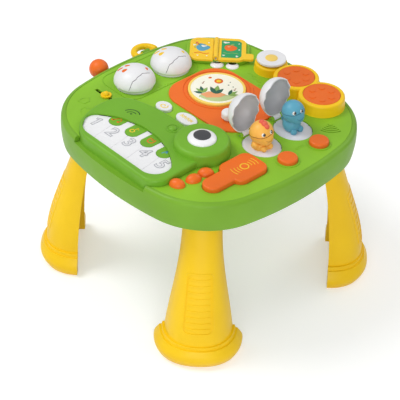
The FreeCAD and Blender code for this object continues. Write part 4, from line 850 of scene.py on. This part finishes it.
def book_pictures():
    """Plain pictures on the two pages that lie open"""

    def show(name, loop, finish, layer=0):
        node, body = ("book_cover", "table") if name.startswith("left") else ("book_leaf", "book_leaf")
        lift = PRINT_LIFT + PAGE_LAYER * layer
        drape("book_" + name, [loop], node, body, finish, lift, PRINT_DEPTH, PAGE_STEP, book_rays)

    # The left page: a blue pool with a white cloud and flowers on yellow
    ground = rounded((-30.0, 129.0), (-4.5, 177.0), 9.0, (False, False, True, True))
    show("left_ground", ground, "page_yellow")
    band = curve_through([(-27.0, 139.5), (-20.0, 141.5), (-12.0, 138.5), (-6.0, 140.5)], 6)
    show("left_band", stroke(band, 1.6), "orange", 1)
    show("left_pool", blob(-15.5, 154.0, 8.4, 0.10, 0.6, 1.15), "blue", 1)
    show("left_pool_top", blob(-16.5, 160.5, 4.6, 0.12, 1.4, 1.2), "blue", 2)
    show("left_cloud", blob(-14.0, 159.0, 2.4, 0.2, 0.5, 1.5), "print_white", 3)
    show("left_stem", stroke([(-26.5, 152.0), (-27.0, 160.0), (-24.5, 166.0)], 1.0), "page_green", 1)
    flowers = ((-24.5, 167.5, "red"), (-27.5, 161.0, "print_white"), (-22.0, 163.5, "red"))
    for number, (u, v, finish) in enumerate(flowers):
        show(f"left_flower_{number}", blob(u, v, 1.9, 0.22, number), finish, 2)
    for number, (u, v) in enumerate(((-22.0, 133.5), (-9.0, 133.0), (-7.0, 168.0))):
        show(f"left_dot_{number}", blob(u, v, 1.2, 0.1, number), "print_white", 2)
    # The right leaf: an orange fruit on a green field inside a yellow border
    field = rounded((11.5, 130.0), (40.5, 176.0), 7.0, (True, True, False, False))
    show("right_field", field, "page_green")
    show("right_fruit", blob(24.5, 156.0, 8.2, 0.06, 1.2, 1.1), "orange", 1)
    show("right_shine", blob(22.0, 159.5, 1.7, 0.1, 0.4, 1.4), "peach", 2)
    show("right_leaf", leaf(24.5, 163.0, 7.5, 3.8, 40.0), "leaf_light", 2)
    show("right_cloud", blob(18.0, 170.5, 2.2, 0.2, 0.9, 1.9), "print_white", 1)
    dots = ((37.0, 152.0, 1.2), (15.0, 136.0, 1.6), (34.0, 134.5, 1.9), (36.5, 168.0, 1.1))
    for number, (u, v, size) in enumerate(dots):
        show(f"right_dot_{number}", blob(u, v, size, 0.25, number), "print_white", 1)
    line = curve_through([(14.5, 143.5), (21.0, 141.5), (28.0, 143.0), (36.0, 141.0)], 6)
    show("right_line", stroke(line, 1.2), "leaf_light", 1)


book_pictures()


def spot_rays(centre, turn, up):
    """The outline is in degrees about one direction from the middle of a head"""
    middle = point(*centre)
    a, b = math.radians(turn), math.radians(up)
    ahead = Vector((math.cos(b) * math.cos(a), math.cos(b) * math.sin(a), math.sin(b)))
    side = Vector((-math.sin(a), math.cos(a), 0.0))
    above = ahead.cross(side)

    def rays(u, v):
        way = (ahead + side * math.tan(math.radians(u)) + above * math.tan(math.radians(v))).normalized()
        return middle + way * FACE_REACH, -way

    return rays


def figure_face(name, head, eyes, crease, smile_at, smile_turn, line_finish):
    """Two eyes with a painted glint, a mouth, and a crease round the head, the crease drawn as a dark
    line of painted shade
    """
    where = (name + "_figure", name + "_platform")
    for number, (turn, up) in enumerate(eyes):
        rays = spot_rays(head, turn, up)
        rim = [circle(-2.2, -0.4, 8.6, 9.0)]
        eye = [circle(1.2, 0.4, 6.6, 7.2)]
        glint = [circle(-1.4, 2.6, 1.9, 2.1, 16)]
        drape(f"{name}_eye_rim_{number}", rim, *where, "print_white", 0.10, 0.3, 4.0, rays)
        drape(f"{name}_eye_{number}", eye, *where, "eye_black", 0.32, 0.4, 3.0, rays)
        # The glint is a painted highlight
        drape(f"{name}_glint_{number}", glint, *where, "print_white", 0.44, 0.3, 2.0, rays)
    # The crease between head and jaw is drawn dark as painted shade
    line = stroke(curve_through([seen(*p) for p in crease], 6), 2.4, True)
    rays = crown_rays(head, HEAD_REACH)
    drape(f"{name}_crease", [line], *where, line_finish, 0.05, 0.25, FACE_STEP, rays)
    smile = stroke(curve_through([(-26, 6), (-14, -3), (0, -6), (14, -3), (26, 7)], 6), 3.4, True)
    rays = spot_rays(smile_at, smile_turn, 4.0)
    drape(f"{name}_mouth", [smile], *where, line_finish, 0.06, 0.25, FACE_STEP, rays)


CHICK_EYES = ((-33.0, 21.0), (14.0, 25.0))
CHICK_CREASE = (
    (-140, -8), (-115, -4), (-90, 0), (-53, 4), (-20, 9),
    (24, 14), (60, 8), (100, -2), (128, -8),
)
DINO_EYES = ((-38.0, 24.0), (8.0, 26.0))
DINO_CREASE = ((-140, -4), (-99, 3), (-57, 9), (-26, 15), (7, 20), (40, 14), (90, 3), (128, -4))
figure_face("chick", CHICK_HEAD, CHICK_EYES, CHICK_CREASE, CHICK_MUZZLE, -10.0, "figure_line")
figure_face("dino", DINO_HEAD, DINO_EYES, DINO_CREASE, DINO_MUZZLE, -12.0, "figure_line_blue")


def face_pupils():
    """Dark pupils that look to the back left, on the pair of small eyes below the book"""
    for number, (x, y, size) in enumerate(SMALL_EYES):
        shift = 0.15 * size
        loop = circle(x - shift, y + shift, size * 0.56, size * 0.46, 30, 45.0)
        drape(f"face_pupil_{number}", [loop], "face_eyes", "table", "eye_black", 0.12, 0.3)


face_pupils()

# Faint curved groove of the deck to the right of the disc, drawn as a darker orange line: painted shade
# in the groove
groove = stroke(arc(*DISC_XY, DECK_GROOVE_RADIUS, -24.0, 56.0, 26), 0.7)
drape("deck_line", [groove], "turntable_deck", "table", "groove_shade_orange", 0.05, 0.2, DISC_STEP)


def floor():
    """Pale floor that keeps the shadow and shows as white to the camera"""
    s = Shader("finish_floor")
    s.bsdf.inputs["Base Color"].default_value = (0.80, 0.80, 0.81, 1.0)
    s.bsdf.inputs["Roughness"].default_value = 0.9
    s.bsdf.inputs["Specular IOR Level"].default_value = 0.0
    glow = s.node("ShaderNodeEmission")
    glow.inputs["Color"].default_value = (1.0, 1.0, 1.0, 1.0)
    path = s.node("ShaderNodeLightPath")
    shown = s.maths("MAXIMUM", path.outputs["Is Camera Ray"], path.outputs["Is Glossy Ray"])
    shown = s.maths("MAXIMUM", shown, path.outputs["Is Transmission Ray"])
    s.link(s.maths("MULTIPLY", shown, FLOOR_GLOW), glow.inputs["Strength"])
    both = s.node("ShaderNodeAddShader")
    s.link(s.bsdf.outputs[0], both.inputs[0])
    s.link(glow.outputs[0], both.inputs[1])
    s.link(both.outputs[0], s.out.inputs[0])
    mesh = bpy.data.meshes.new("floor")
    a = FLOOR_HALF
    mesh.from_pydata([(-a, -a, 0), (a, -a, 0), (a, a, 0), (-a, a, 0)], [], [(0, 1, 2, 3)])
    mesh.materials.append(s.material)
    made = bpy.data.objects.new("floor", mesh)
    bpy.context.scene.collection.objects.link(made)


def surroundings():
    """White all round: dimmer where it lights the table than where it is seen"""
    world = bpy.data.worlds.new("world")
    bpy.context.scene.world = world
    world.use_nodes = True
    tree = world.node_tree
    tree.nodes.clear()
    out = tree.nodes.new("ShaderNodeOutputWorld")
    pick = tree.nodes.new("ShaderNodeMixShader")
    for socket, strength in zip(pick.inputs[1:], (WORLD_LIGHT, 1.0)):
        white = tree.nodes.new("ShaderNodeBackground")
        white.inputs["Color"].default_value = (1.0, 1.0, 1.0, 1.0)
        white.inputs["Strength"].default_value = strength
        tree.links.new(white.outputs[0], socket)
    path = tree.nodes.new("ShaderNodeLightPath")
    either = tree.nodes.new("ShaderNodeMath")
    either.operation = "MAXIMUM"
    tree.links.new(path.outputs["Is Camera Ray"], either.inputs[0])
    tree.links.new(path.outputs["Is Transmission Ray"], either.inputs[1])
    tree.links.new(either.outputs[0], pick.inputs[0])
    tree.links.new(pick.outputs[0], out.inputs[0])


def lamp(name, place, target, size, power):
    data = bpy.data.lights.new(name, "AREA")
    data.shape = "DISK"
    data.size = size
    data.energy = power
    made = bpy.data.objects.new(name, data)
    bpy.context.scene.collection.objects.link(made)
    made.location = place
    made.rotation_euler = (Vector(target) - Vector(place)).to_track_quat("-Z", "Y").to_euler()


def camera():
    data = bpy.data.cameras.new("camera")
    data.lens = CAMERA_LENS
    data.sensor_width = 36.0
    data.clip_end = 50.0
    made = bpy.data.objects.new("camera", data)
    bpy.context.scene.collection.objects.link(made)
    view = Vector(CAMERA_VIEW).normalized()
    side = view.cross(Vector((0.0, 0.0, 1.0))).normalized()
    up = side.cross(view)
    c, s = math.cos(CAMERA_ROLL), math.sin(CAMERA_ROLL)
    side, up = c * side + s * up, -s * side + c * up
    made.matrix_world = Matrix((
        (side.x, up.x, -view.x, CAMERA_PLACE[0]),
        (side.y, up.y, -view.y, CAMERA_PLACE[1]),
        (side.z, up.z, -view.z, CAMERA_PLACE[2]),
        (0.0, 0.0, 0.0, 1.0),
    ))
    bpy.context.scene.camera = made


floor()
surroundings()
# Place and target in metres, size in metres, power in watts
lamp("key", (-0.8, -0.7, 1.9), (0.0, 0.0, 0.2), 1.0, 17.0)
lamp("front", (1.5, -1.5, 0.9), (0.0, 0.0, 0.15), 1.4, 17.0)
lamp("back", (0.2, 1.7, 1.5), (0.0, 0.0, 0.2), 1.0, 6.0)
camera()
bpy.context.scene.view_settings.view_transform = "Standard"
